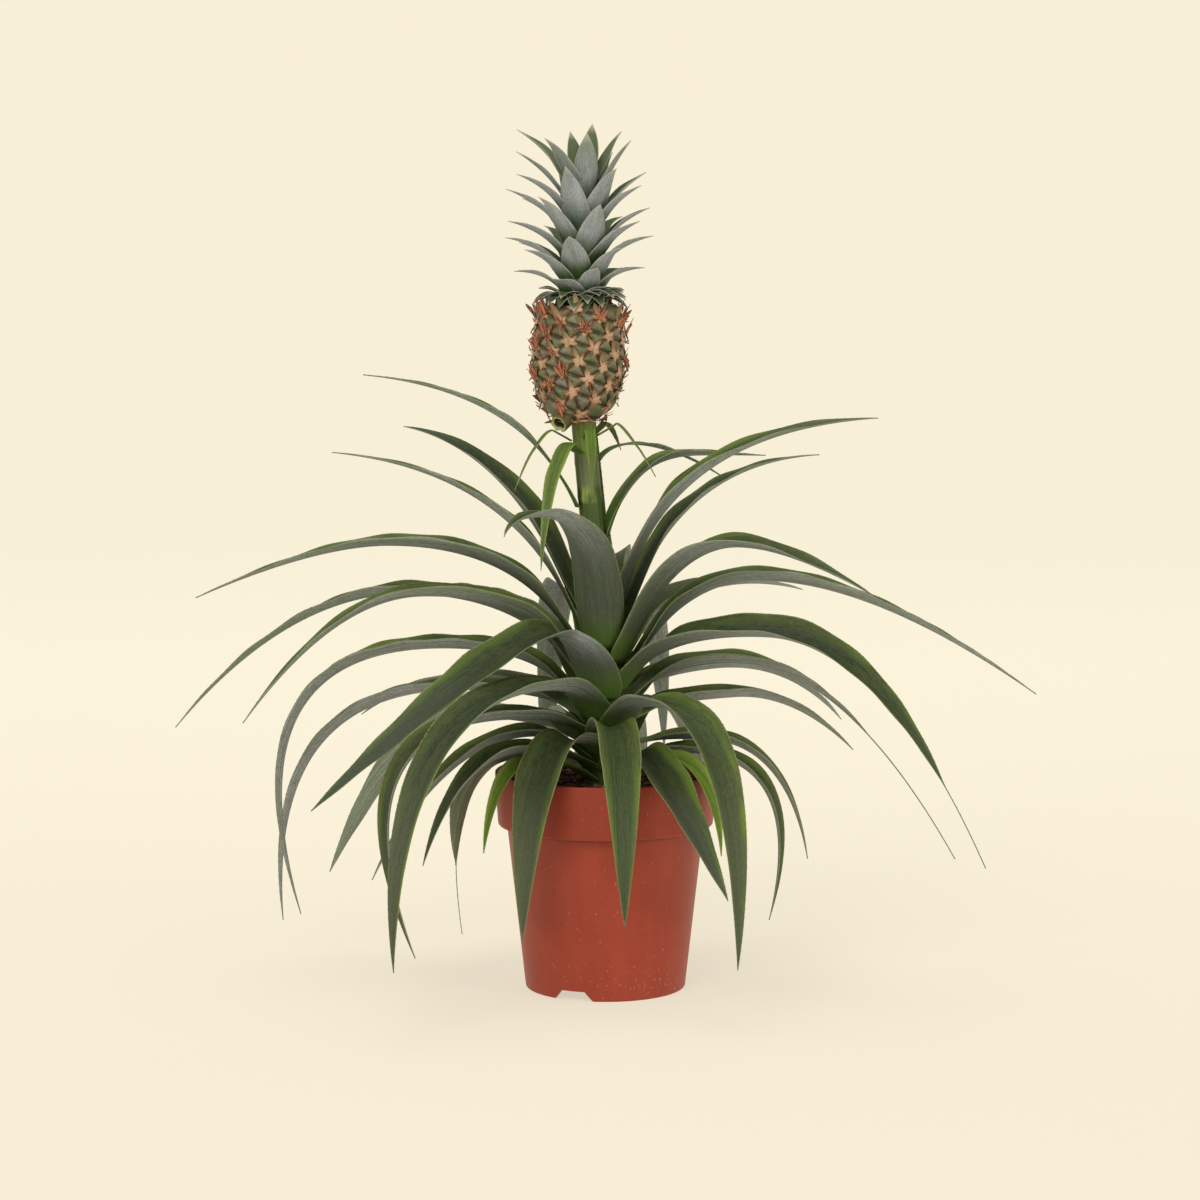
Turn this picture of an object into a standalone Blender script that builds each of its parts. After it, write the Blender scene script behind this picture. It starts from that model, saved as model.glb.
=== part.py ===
"""A small pineapple plant in its nursery pot: pot, soil, stem, leaves, bracts, fruit and crown.

Metres, +Z up. The origin is the middle of the pot's foot ring, on the surface that the pot stands on.
Bearings are degrees seen from above: 0 is right (+X), 90 is back (+Y), 180 is left, 270 is front.
"""

import math
import random
from collections import namedtuple

import bmesh
import bpy
from mathutils import Matrix, Vector, noise

# Driving dimensions
GAP = 0.0003  # between pieces that touch

POT_HEIGHT = 0.120
POT_RIM_RADIUS = 0.0605
POT_LIP_RADIUS = 0.0590  # at the lip's lower edge
POT_LIP_DEPTH = 0.0295
POT_BODY_RADIUS = 0.0540  # just under the lip
POT_FOOT_RADIUS = 0.0440
POT_WALL = 0.0015
POT_FLOOR = 0.0068  # underside of the floor above the surface
POT_CORNER = 0.0015  # rounding at the foot of the wall
POT_FOOT_WALL = 0.0030  # of the skirt under the floor
POT_SIDES = 40
NOTCH_WIDTH = 0.023  # at the surface that the pot stands on
NOTCH_TOP_WIDTH = 0.014
NOTCH_HEIGHT = 0.0054
NOTCH_DEPTH = 0.020
NOTCH_BEARINGS = (66, 246)
DRAIN_HOLE_RADIUS = 0.0035
DRAIN_HOLES = 6
DRAIN_CIRCLE = 0.029  # radius of the circle that the holes stand on
DRAIN_SIDES = 10

SOIL_TOP = 0.1125
SOIL_RELIEF = 0.0022
SOIL_SHOULDER = 0.003  # how far the soil has sunk at the wall
SOIL_SIDES = 26
SOIL_SLACK = 0.0005  # more room for the soil's corners in the round pot
STEM_HOLE_DEPTH = 0.040

STEM_RADIUS_BOTTOM = 0.0115
STEM_RADIUS_NECK = 0.0066
STEM_NECK_HEIGHT = 0.240
STEM_SIDES = 16
LEAN = 0.017  # how far left of the pot's middle the crown stands
LEAN_START = 0.130
LEAN_END = 0.410

FRUIT_BOTTOM = 0.3125
FRUIT_TOP = 0.3745
FRUIT_RADIUS = 0.0250
FRUIT_LEAN = 0.0025  # how far its top stands right of the stem's line, and its foot left of it
FRUIT_EYES = 72
FRUIT_COLUMNS = 40
FRUIT_ROWS = 17
EYE_RISE = 0.0024
EYE_SEAM = 0.004  # width of the slope between neighbouring eyes
EYE_BRACT_LENGTH = 0.0075
BARE_SHARE = 0.94  # the eyes above this share of its height lie under the crown, bare
EYE_BRACT_RADIUS = 0.0024
FLOWER_SHARE = 0.42  # of the eyes that still carry a withered flower
FLOWER_RADIUS = 0.0011
SLIP_BEARING = 232
SLIP_REACH = 0.0073  # of the side shoot's dried stub from the fruit's axis
SLIP_RISE = 0.0052  # of its root above the fruit's foot
SLIP_TILT = 1.4  # how far it runs outward for each metre that it drops
SLIP_LENGTH = 0.0125
SLIP_RADIUS = 0.0058
GOLDEN_ANGLE = 137.508  # degrees between one eye and the next

CROWN_LEAN = 0.0022  # how far its top stands right of its foot
CROWN_CORE_RADIUS = 0.0105
CROWN_CORE_HEIGHT = 0.058
CROWN_CORE_SIDES = 8
CROWN_FOOT = 0.0022  # height of the lowest crown leaf's foot above the fruit
CROWN_LOW = 0.009  # leaves with their feet below this are short, and need fewer sections
CROWN_LEAF_THICK = 0.0009
CROWN_CLASP_REACH = 0.010
CROWN_FREE_REACH = 0.026
CROWN_FOLD = 0.46
CROWN_RISE = (52, 78)  # degrees at which the lowest and the highest leaf leave the core
CROWN_BLUNT = (3.2, 2.0)  # power of the taper of short and of long leaves


def clear_scene():
    for thing in list(bpy.data.objects):
        bpy.data.objects.remove(thing, do_unlink=True)


def plain_material(name, colour, roughness, metallic=0.0):
    material = bpy.data.materials.new(name)
    material.use_nodes = True
    shader = material.node_tree.nodes["Principled BSDF"]
    shader.inputs["Base Color"].default_value = (*colour, 1.0)
    shader.inputs["Roughness"].default_value = roughness
    shader.inputs["Metallic"].default_value = metallic
    return material


def add_object(name, points, faces, material=None):
    mesh = bpy.data.meshes.new(name)
    mesh.from_pydata([tuple(point) for point in points], [], faces)
    mesh.validate()
    thing = bpy.data.objects.new(name, mesh)
    bpy.context.scene.collection.objects.link(thing)
    if material:
        mesh.materials.append(material)
    return thing


def shade_smooth(thing, crease_degrees=40):
    thing.data.shade_smooth()
    thing.data.set_sharp_from_angle(angle=math.radians(crease_degrees))


def smoothstep(low, high, value):
    share = min(1.0, max(0.0, (value - low) / (high - low)))
    return share * share * (3 - 2 * share)


def heading(bearing):
    """The level direction of a bearing in degrees."""
    turn = math.radians(bearing)
    return Vector((math.cos(turn), math.sin(turn), 0))


def axis_point(height):
    """The middle of the stem, fruit and crown, which lean left above the soil."""
    return Vector((-LEAN * smoothstep(LEAN_START, LEAN_END, height), 0, height))


def arc(middle, radius, start, end, count):
    """Points (reach, height) round a quarter or so of a circle, angles in degrees."""
    turns = [math.radians(start + (end - start) * i / count) for i in range(count + 1)]
    return [(middle[0] + radius * math.cos(t), middle[1] + radius * math.sin(t)) for t in turns]


def turned(name, outline, sides, material):
    """A solid turned about Z from an outline of (reach, height), listed down its outer side."""
    profile = bpy.data.meshes.new(name)
    profile.from_pydata([(r, 0, z) for r, z in outline], [(i, i + 1) for i in range(len(outline) - 1)], [])
    profile.materials.append(material)
    thing = bpy.data.objects.new(name, profile)
    bpy.context.scene.collection.objects.link(thing)
    screw = thing.modifiers.new("Turn", "SCREW")
    screw.steps = sides
    screw.render_steps = sides
    screw.use_merge_vertices = True
    screw.merge_threshold = 0.00005
    return thing


def cutter(name, thing):
    thing.name = name
    thing.hide_render = True
    thing.display_type = "WIRE"
    return thing


def cut(body, tool):
    boolean = body.modifiers.new(tool.name, "BOOLEAN")
    boolean.operation = "DIFFERENCE"
    boolean.object = tool


def apply_modifiers(thing):
    graph = bpy.context.evaluated_depsgraph_get()
    mesh = bpy.data.meshes.new_from_object(thing.evaluated_get(graph))
    thing.modifiers.clear()
    thing.data = mesh


def fuse(body, pieces):
    """Joins small closed pieces to the body that they grow from, and removes them."""
    group = bpy.data.collections.new(body.name + " pieces")
    bpy.context.scene.collection.children.link(group)
    for piece in pieces:
        bpy.context.scene.collection.objects.unlink(piece)
        group.objects.link(piece)
    union = body.modifiers.new("Join", "BOOLEAN")
    union.operation = "UNION"
    union.operand_type = "COLLECTION"
    union.collection = group
    union.solver = "MANIFOLD"
    apply_modifiers(body)
    for piece in pieces:
        bpy.data.objects.remove(piece, do_unlink=True)
    bpy.data.collections.remove(group)


# Pot
def notch_cutter(name, bearing):
    """A block across the skirt whose ends slope together upward."""
    middle = heading(bearing) * POT_FOOT_RADIUS
    out = heading(bearing) * NOTCH_DEPTH / 2
    side = heading(bearing + 90)
    points = []
    low_half = NOTCH_WIDTH - NOTCH_TOP_WIDTH / 2
    for half, height in ((low_half, -NOTCH_HEIGHT), (NOTCH_TOP_WIDTH / 2, NOTCH_HEIGHT)):
        for reach, across in ((-1, -1), (1, -1), (1, 1), (-1, 1)):
            points.append(middle + out * reach + side * across * half + Vector((0, 0, height)))
    faces = [(3, 2, 1, 0), (4, 5, 6, 7)] + [(i, (i + 1) % 4, (i + 1) % 4 + 4, i + 4) for i in range(4)]
    return cutter(name, add_object(name, points, faces))


def make_pot():
    material = plain_material("terracotta plastic", (0.35, 0.065, 0.03), 0.42)
    floor_top = POT_FLOOR + POT_WALL
    lip_bottom = POT_HEIGHT - POT_LIP_DEPTH
    edge = POT_WALL / 2
    outline = [(0, floor_top), (POT_FOOT_RADIUS - 2 * POT_WALL, floor_top)]
    outline += [(POT_FOOT_RADIUS - POT_WALL, floor_top + 2 * POT_WALL)]
    outline += [(POT_BODY_RADIUS - POT_WALL, lip_bottom - POT_WALL)]
    outline += [(POT_LIP_RADIUS - 2 * POT_WALL, lip_bottom + POT_WALL)]
    outline += [(POT_LIP_RADIUS - POT_WALL, lip_bottom + 2 * POT_WALL)]
    outline += [(POT_RIM_RADIUS - POT_WALL, POT_HEIGHT - edge)]
    outline += arc((POT_RIM_RADIUS - edge, POT_HEIGHT - edge), edge, 135, 0, 2)
    outline += arc((POT_LIP_RADIUS - POT_WALL, lip_bottom + POT_WALL), POT_WALL, 0, -90, 2)
    outline += [(POT_BODY_RADIUS, lip_bottom)]
    outline += arc((POT_FOOT_RADIUS - POT_CORNER, POT_CORNER), POT_CORNER, 0, -90, 3)
    foot_inside = POT_FOOT_RADIUS - POT_FOOT_WALL
    outline += [(foot_inside, 0), (foot_inside, POT_FLOOR), (0, POT_FLOOR)]
    pot = turned("pot", outline, POT_SIDES, material)
    for number, bearing in enumerate(NOTCH_BEARINGS):
        cut(pot, notch_cutter(f"notch cutter {number}", bearing))
    for number in range(DRAIN_HOLES):
        bpy.ops.mesh.primitive_cylinder_add(
            vertices=DRAIN_SIDES, radius=DRAIN_HOLE_RADIUS, depth=4 * POT_WALL
        )
        drill = cutter(f"drain cutter {number}", bpy.context.object)
        drill.location = heading(360 * number / DRAIN_HOLES) * DRAIN_CIRCLE
        drill.location.z = POT_FLOOR + POT_WALL / 2
        cut(pot, drill)
    return pot


# Soil
def ring_solid(name, rings, material):
    """A closed solid from rings of points, each ring having as many; a ring of one point closes an end."""
    points = []
    faces = []
    starts = []
    for ring in rings:
        starts.append(len(points))
        points += ring
    for i in range(len(rings) - 1):
        a, b = rings[i], rings[i + 1]
        count = max(len(a), len(b))
        for j in range(count):
            k = (j + 1) % count
            corners = [starts[i] + j % len(a), starts[i] + k % len(a)]
            corners += [starts[i + 1] + k % len(b), starts[i + 1] + j % len(b)]
            faces.append(tuple(dict.fromkeys(corners)))
    return add_object(name, points, faces, material)


def level_ring(radius, height, relief=0.0):
    """A ring of the soil, rough by relief."""
    ring = []
    for i in range(SOIL_SIDES):
        point = heading(360 * i / SOIL_SIDES) * radius
        lift = relief * noise.noise(point * 140) + relief * 0.6 * noise.noise(point * 420)
        ring.append(point + Vector((0, 0, height + lift)))
    return ring


def make_soil():
    circles = 6
    material = plain_material("potting mix", (0.035, 0.012, 0.008), 0.95)
    floor = POT_FLOOR + POT_WALL + 2 * GAP
    wall = POT_WALL + 4 * GAP
    lip_bottom = POT_HEIGHT - POT_LIP_DEPTH
    hole = STEM_RADIUS_BOTTOM + GAP
    hole_bottom = SOIL_TOP - STEM_HOLE_DEPTH
    rings = [[Vector((0, 0, hole_bottom))]]
    rings += [level_ring(hole, hole_bottom), level_ring(hole, SOIL_TOP - 2 * SOIL_SLACK)]
    for i in range(1, circles + 1):
        radius = hole + (POT_LIP_RADIUS - wall - SOIL_SHOULDER - hole) * i / circles
        rings += [level_ring(radius, SOIL_TOP, SOIL_RELIEF)]
    rings += [level_ring(POT_LIP_RADIUS - wall, SOIL_TOP - SOIL_SHOULDER)]
    rings += [level_ring(POT_LIP_RADIUS - wall - 2 * SOIL_SLACK, lip_bottom + 3 * POT_WALL)]
    rings += [level_ring(POT_BODY_RADIUS - wall - SOIL_SLACK, lip_bottom)]
    rings += [level_ring(POT_FOOT_RADIUS - wall - SOIL_SLACK, POT_FLOOR + 4 * POT_WALL)]
    rings += [level_ring(POT_FOOT_RADIUS - wall - 8 * SOIL_SLACK, floor)]
    rings += [[Vector((0, 0, floor))]]
    return ring_solid("soil", rings[::-1], material)


# Stem
def stem_radius(height):
    return STEM_RADIUS_NECK + (STEM_RADIUS_BOTTOM - STEM_RADIUS_NECK) * (
        1 - smoothstep(SOIL_TOP + 0.01, STEM_NECK_HEIGHT, height)
    )


def make_stem():
    material = plain_material("green stem", (0.13, 0.18, 0.06), 0.55)
    bottom = SOIL_TOP - STEM_HOLE_DEPTH + GAP
    top = FRUIT_BOTTOM - GAP
    levels = [bottom, SOIL_TOP] + [SOIL_TOP + (top - SOIL_TOP) * i / 10 for i in range(1, 11)]
    rings = [[axis_point(bottom)]]
    for height in levels:
        radius = stem_radius(height)
        rings.append([axis_point(height) + heading(360 * i / STEM_SIDES) * radius for i in range(STEM_SIDES)])
    rings.append([axis_point(top)])
    return ring_solid("stem", rings, material)


# Leaves
LEAF_THICK = 0.0012  # at the midrib
LEAF_EDGE = 0.0007
CLASP = math.radians(48)  # how far round the stem half a leaf's foot reaches
CLASP_REACH = 0.017  # up to here a leaf hugs the stem
FREE_REACH = 0.045  # from here it is a plain channel
SWAY = 6  # most degrees of chance swing sideways between foot and crest

Leaf = namedtuple("Leaf", "bearing crest shoulder tip width sway roll")

# From the lowest leaf to the highest: bearing of the tip, (reach, height) of the crest, reach of the
# shoulder where it turns down (0 for a leaf that only rises), (reach, height) of the tip, full width,
# degrees that it swings from foot to crest, and degrees that it rolls about its own midrib
LEAVES = (
    Leaf(215, (0.050, 0.127), 0.071, (0.080, 0.082), 0.020, 0, 0),
    Leaf(80, (0.055, 0.135), 0.105, (0.118, 0.060), 0.023, 0, 0),
    Leaf(325, (0.042, 0.129), 0.070, (0.076, 0.080), 0.020, 0, 0),
    Leaf(179, (0.047, 0.1265), 0.093, (0.079, 0.028), 0.025, 0, 70),
    Leaf(297, (0.040, 0.1335), 0.064, (0.139, 0.0715), 0.029, 0, 0),
    Leaf(207, (0.054, 0.133), 0.088, (0.110, 0.076), 0.024, -8, 0),
    Leaf(106, (0.060, 0.142), 0.110, (0.125, 0.055), 0.024, 0, 0),
    Leaf(343, (0.048, 0.132), 0.114, (0.093, 0.042), 0.020, -10, 0),
    Leaf(190, (0.040, 0.140), 0.089, (0.129, 0.063), 0.024, 0, 0),
    Leaf(62, (0.060, 0.147), 0.112, (0.122, 0.060), 0.024, 0, 0),
    Leaf(240, (0.040, 0.140), 0.079, (0.088, 0.041), 0.031, 0, 0),
    Leaf(356, (0.052, 0.138), 0.099, (0.111, 0.072), 0.020, 0, 0),
    Leaf(150, (0.079, 0.144), 0.128, (0.183, 0.046), 0.033, 0, 26),
    Leaf(276, (0.045, 0.149), 0.089, (0.096, 0.052), 0.026, 6, 0),
    Leaf(95, (0.070, 0.157), 0.132, (0.146, 0.050), 0.025, 0, 0),
    Leaf(205, (0.061, 0.152), 0.160, (0.113, 0.025), 0.026, -7, 0),
    Leaf(302, (0.059, 0.162), 0.133, (0.130, 0.032), 0.027, 8, 0),
    Leaf(135, (0.090, 0.160), 0.150, (0.202, 0.130), 0.023, 0, 0),
    Leaf(25, (0.080, 0.156), 0.117, (0.155, 0.121), 0.024, 0, 0),
    Leaf(160, (0.073, 0.161), 0.205, (0.195, 0.023), 0.024, 0, 0),
    Leaf(234, (0.066, 0.171), 0.186, (0.184, 0.039), 0.030, -16, 0),
    Leaf(46, (0.085, 0.168), 0.150, (0.200, 0.127), 0.024, 0, 0),
    Leaf(172, (0.086, 0.186), 0.213, (0.171, 0.035), 0.025, 0, 0),
    Leaf(10, (0.070, 0.178), 0.134, (0.199, 0.064), 0.024, 0, 0),
    Leaf(130, (0.140, 0.208), 0.165, (0.190, 0.203), 0.024, 0, 0),
    Leaf(220, (0.035, 0.197), 0.068, (0.197, 0.119), 0.031, -36, -18),
    Leaf(76, (0.080, 0.198), 0.130, (0.146, 0.110), 0.026, 0, 0),
    Leaf(340, (0.093, 0.198), 0.159, (0.215, 0.079), 0.032, 6, 30),
    Leaf(168, (0.108, 0.215), 0.178, (0.246, 0.136), 0.024, 0, 0),
    Leaf(5, (0.084, 0.224), 0.147, (0.240, 0.159), 0.026, 0, 0),
    Leaf(106, (0.075, 0.212), 0.110, (0.122, 0.080), 0.025, 1, 0),
    Leaf(190, (0.100, 0.218), 0.147, (0.197, 0.151), 0.025, 7, 0),
    Leaf(52, (0.120, 0.212), 0.150, (0.190, 0.203), 0.024, -3, 0),
    Leaf(338, (0.079, 0.246), 0.108, (0.154, 0.223), 0.028, 10, 10),
    Leaf(180, (0.115, 0.244), 0.156, (0.222, 0.215), 0.025, 0, 0),
    Leaf(85, (0.060, 0.232), 0.110, (0.146, 0.165), 0.024, 0, 0),
    Leaf(243, (0.080, 0.266), 0.106, (0.112, 0.258), 0.029, -27, 8),
    Leaf(25, (0.036, 0.287), 0, (0.134, 0.289), 0.018, 0, 0),
    Leaf(183, (0.040, 0.284), 0, (0.146, 0.295), 0.017, 0, 0),
    Leaf(98, (0.048, 0.250), 0.085, (0.110, 0.225), 0.022, 0, 0),
    Leaf(355, (0.024, 0.305), 0, (0.150, 0.314), 0.026, 10, 14),
    Leaf(160, (0.048, 0.295), 0, (0.116, 0.306), 0.027, 0, -18),
)

# Leaves that end in a thin dry thread, with the share of the length that it takes up
THREADS = {"leaf_04": 0.26, "leaf_24": 0.35, "leaf_28": 0.18}

# Thin leaves on the fruit stalk, with the height of each one's foot and its rise in degrees
STALK_LEAVES = (
    (0.215, 82, Leaf(97, (0.018, 0.270), 0, (0.027, 0.322), 0.012, 0, 0)),
    (0.249, 76, Leaf(15, (0.058, 0.292), 0.074, (0.098, 0.291), 0.018, 0, 0)),
    (0.265, 60, Leaf(184, (0.035, 0.328), 0, (0.123, 0.337), 0.013, 0, 0)),
    (0.290, 55, Leaf(30, (0.026, 0.298), 0.052, (0.090, 0.276), 0.008, 0, 0)),
)

# Bright narrow bracts just under the fruit, stated in the same way
BRACTS = (
    (0.301, 30, Leaf(203, (0.019, 0.3070), 0.027, (0.041, 0.275), 0.005, 12, 0)),
    (0.295, 25, Leaf(238, (0.0155, 0.3005), 0.034, (0.045, 0.234), 0.010, 0, 0)),
    (0.303, 30, Leaf(282, (0.013, 0.308), 0.019, (0.020, 0.276), 0.006, 0, 0)),
    (0.304, 30, Leaf(345, (0.018, 0.3105), 0.023, (0.040, 0.282), 0.006, 0, 0)),
    (0.304, 30, Leaf(48, (0.016, 0.3100), 0.022, (0.030, 0.294), 0.006, 0, 0)),
)


def foot_height(order):
    """The feet stand close together at the soil and wider apart up the stem."""
    return SOIL_TOP + 0.0040 + 0.0013 * order + 0.000018 * order * order


def rise_angle(order):
    return math.radians(46 + 0.6 * order)


def bezier(a, b, c, t):
    return a * (1 - t) ** 2 + b * 2 * t * (1 - t) + c * t**2


def foot_reach(leaf, foot):
    """Reach of a midrib's start, where the inner face of the bowed foot just clears the stem."""
    clear = stem_radius(foot) + GAP + LEAF_THICK / 2
    reach = clear
    for _ in range(3):
        bow = min(CLASP, leaf.width / 2 * width_share(0) / reach)
        reach = clear / math.cos(bow / 2)
    return reach


def midrib(leaf, foot, rise, t):
    """(reach, height) of the midrib: t is 0 at the foot, 1 at the crest and 2 at the tip.

    A leaf whose tip is above its crest never arches over, and runs in one curve that bends toward the crest.
    """
    start = Vector((foot_reach(leaf, foot), foot))
    crest = Vector(leaf.crest)
    if leaf.tip[1] > crest.y:
        return bezier(start, crest, Vector(leaf.tip), t / 2)
    if t <= 1:
        turn = Vector((start.x + (crest.y - foot) / math.tan(rise), crest.y))
        return bezier(start, turn, crest, t)
    return bezier(crest, Vector((leaf.shoulder, crest.y)), Vector(leaf.tip), t - 1)


def width_share(run):
    """Width of a blade, as a share of its full width, at a share of its length from foot to tip."""
    taper = max(0.0, 1 - run)
    return max(0.06, (0.85 + 0.15 * smoothstep(0, 0.3, run)) * min(1.0, 1.6 * taper**0.85))


def length_shares(leaf, foot, rise, steps):
    """Share of the midrib's length that lies behind each step."""
    spots = [midrib(leaf, foot, rise, t) for t in steps]
    runs = [0.0]
    for a, b in zip(spots, spots[1:]):
        runs.append(runs[-1] + (b - a).length)
    return [run / runs[-1] for run in runs]


def channel_ring(axis, bearing, spot, slope, half, free, fold, thick, roll=0.0):
    """Six points round a blade's section: upper face left to right, then lower face right to left.

    Near the stem, where free is 0, the section is a bow round the axis, so that blades lie in each other
    like cups. Where free is 1 it is a channel whose sides rise by fold.
    """
    out = heading(bearing)
    side = heading(bearing - 90)
    along = out * slope.x + Vector((0, 0, slope.y))
    normal = side.cross(along)
    bow = min(CLASP, half / spot.x)
    spread = (1 - free) * spot.x * math.sin(bow) + free * half * (1 - fold / 3)
    rise = (1 - free) * spot.x * (1 - math.cos(bow)) + free * half * fold
    lift = (normal * free - out * (1 - free)).normalized()
    turn = Matrix.Rotation(math.radians(roll) * free, 3, along)
    tilt = math.atan2(rise, spread)
    middle = axis + out * spot.x + Vector((0, 0, spot.y - axis.z))
    ring = []
    for face in (1, -1):
        for across in (-face, 0, face):
            point = side * across * spread + lift * abs(across) * rise
            if across:
                point += (normal * math.cos(tilt) - side * across * math.sin(tilt)) * face * LEAF_EDGE / 2
            else:
                point += normal * face * thick / 2
            ring.append(middle + turn @ point)
    return ring


def leaf_ring(leaf, foot, rise, sway, t, run):
    spot = midrib(leaf, foot, rise, t)
    ahead = midrib(leaf, foot, rise, min(2.0, t + 0.02))
    behind = midrib(leaf, foot, rise, max(0.0, t - 0.02))
    slope = (ahead - behind).normalized()
    bearing = leaf.bearing - sway * (1 - smoothstep(0, 1.2, t))
    half = leaf.width / 2 * width_share(run)
    free = smoothstep(CLASP_REACH, FREE_REACH, spot.x)
    fold = 0.62 - 0.12 * t
    thick = LEAF_THICK * (1 - 0.2 * t)
    return channel_ring(axis_point(foot), bearing, spot, slope, half, free, fold, thick, leaf.roll * t / 2)


def blade(name, rings, material):
    """A closed blade from rings of six, its two faces split into triangles alike."""
    points = [point for ring in rings for point in ring]
    faces = []
    strips = ((0, 1), (2, 1), (3, 4), (5, 4), (2, 3), (5, 0))
    for i in range(len(rings) - 1):
        a, b = 6 * i, 6 * i + 6
        for edge, rib in strips:
            faces += [(a + edge, b + edge, b + rib), (a + edge, b + rib, a + rib)]
    end = 6 * len(rings) - 6
    for first in (0, end):
        faces += [(first, first + 1, first + 4), (first, first + 4, first + 5)]
        faces += [(first + 1, first + 2, first + 3), (first + 1, first + 3, first + 4)]
    thing = add_object(name, points, faces, material)
    work = bmesh.new()
    work.from_mesh(thing.data)
    bmesh.ops.recalc_face_normals(work, faces=work.faces)
    work.to_mesh(thing.data)
    work.free()
    return thing


def make_leaf(name, leaf, foot, rise, sway, material, rising=4, falling=7):
    """One blade, with that many steps from foot to crest and from crest to tip."""
    steps = [i / rising for i in range(rising)] + [1 + i / falling for i in range(falling + 1)]
    runs = [run / (1 - THREADS.get(name, 0)) for run in length_shares(leaf, foot, rise, steps)]
    rings = [leaf_ring(leaf, foot, rise, sway, t, run) for t, run in zip(steps, runs)]
    leaf_blade = blade(name, rings, material)
    shade_smooth(leaf_blade, 60)
    return leaf_blade


def make_leaves():
    material = plain_material("pineapple leaf", (0.045, 0.085, 0.035), 0.5)
    draw = random.Random(7)
    for order, leaf in enumerate(LEAVES):
        sway = leaf.sway + draw.uniform(-SWAY, SWAY)
        make_leaf(f"leaf_{order + 1:02d}", leaf, foot_height(order), rise_angle(order), sway, material)
    for number, (foot, rise, leaf) in enumerate(STALK_LEAVES):
        make_leaf(f"stalk_leaf_{number + 1}", leaf, foot, math.radians(rise), leaf.sway, material, 4, 5)


def make_bracts():
    material = plain_material("bright bract", (0.12, 0.26, 0.03), 0.5)
    for number, (foot, rise, leaf) in enumerate(BRACTS):
        make_leaf(f"bract_{number + 1}", leaf, foot, math.radians(rise), leaf.sway, material, 3, 5)


# Fruit
def fruit_radius(share):
    """Radius at a share of the fruit's height: a barrel that is widest above its middle."""
    return FRUIT_RADIUS * math.sqrt(1 - abs((share - 0.6) / 0.67) ** 2.6)


def fruit_middle(share):
    """The fruit's axis, which stands straighter than the stem."""
    height = FRUIT_BOTTOM + share * (FRUIT_TOP - FRUIT_BOTTOM)
    return axis_point(height) + Vector((FRUIT_LEAN * (2 * share - 1), 0, 0))


def fruit_skin(bearing, share):
    """A point of the fruit without its eyes."""
    return fruit_middle(share) + heading(bearing) * fruit_radius(share)


def eye_places():
    """(bearing, share of height) of each eye, on a spiral that gives every eye the same area."""
    slices = 200
    areas = [fruit_radius((i + 0.5) / slices) for i in range(slices)]
    places = []
    for i in range(FRUIT_EYES):
        wanted = (i + 0.5) / FRUIT_EYES * sum(areas)
        level = 0
        while wanted > areas[level]:
            wanted -= areas[level]
            level += 1
        places.append((GOLDEN_ANGLE * i, (level + wanted / areas[level]) / slices))
    return places


def around(direction, sides):
    """Unit vectors square to a direction, evenly round it."""
    across = direction.orthogonal().normalized()
    return [Matrix.Rotation(2 * math.pi * i / sides, 3, direction) @ across for i in range(sides)]


def spike(name, root, direction, length, radius, sides=3):
    """A pointed pyramid standing on root."""
    points = [root + ray * radius for ray in around(direction, sides)] + [root + direction * length]
    faces = [tuple(range(sides))[::-1]] + [(i, (i + 1) % sides, sides) for i in range(sides)]
    return add_object(name, points, faces)


def make_slip_stub():
    """The dried stub of a side shoot, hanging from the fruit's foot at its front left."""
    sides = 8
    top = fruit_middle(0) + heading(SLIP_BEARING) * SLIP_REACH + Vector((0, 0, SLIP_RISE))
    drop = (heading(SLIP_BEARING) * SLIP_TILT + Vector((0, 0, -1))).normalized()
    rays = around(drop, sides)
    rings = [[top]]
    for depth, radius in ((0, 0.97), (0.64, 1), (1, 0.8), (0.96, 0.55), (0.72, 0.41)):
        rings.append([top + drop * depth * SLIP_LENGTH + ray * radius * SLIP_RADIUS for ray in rays])
    rings.append([top + drop * 0.68 * SLIP_LENGTH])
    return ring_solid("slip stub", rings, None)


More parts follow.
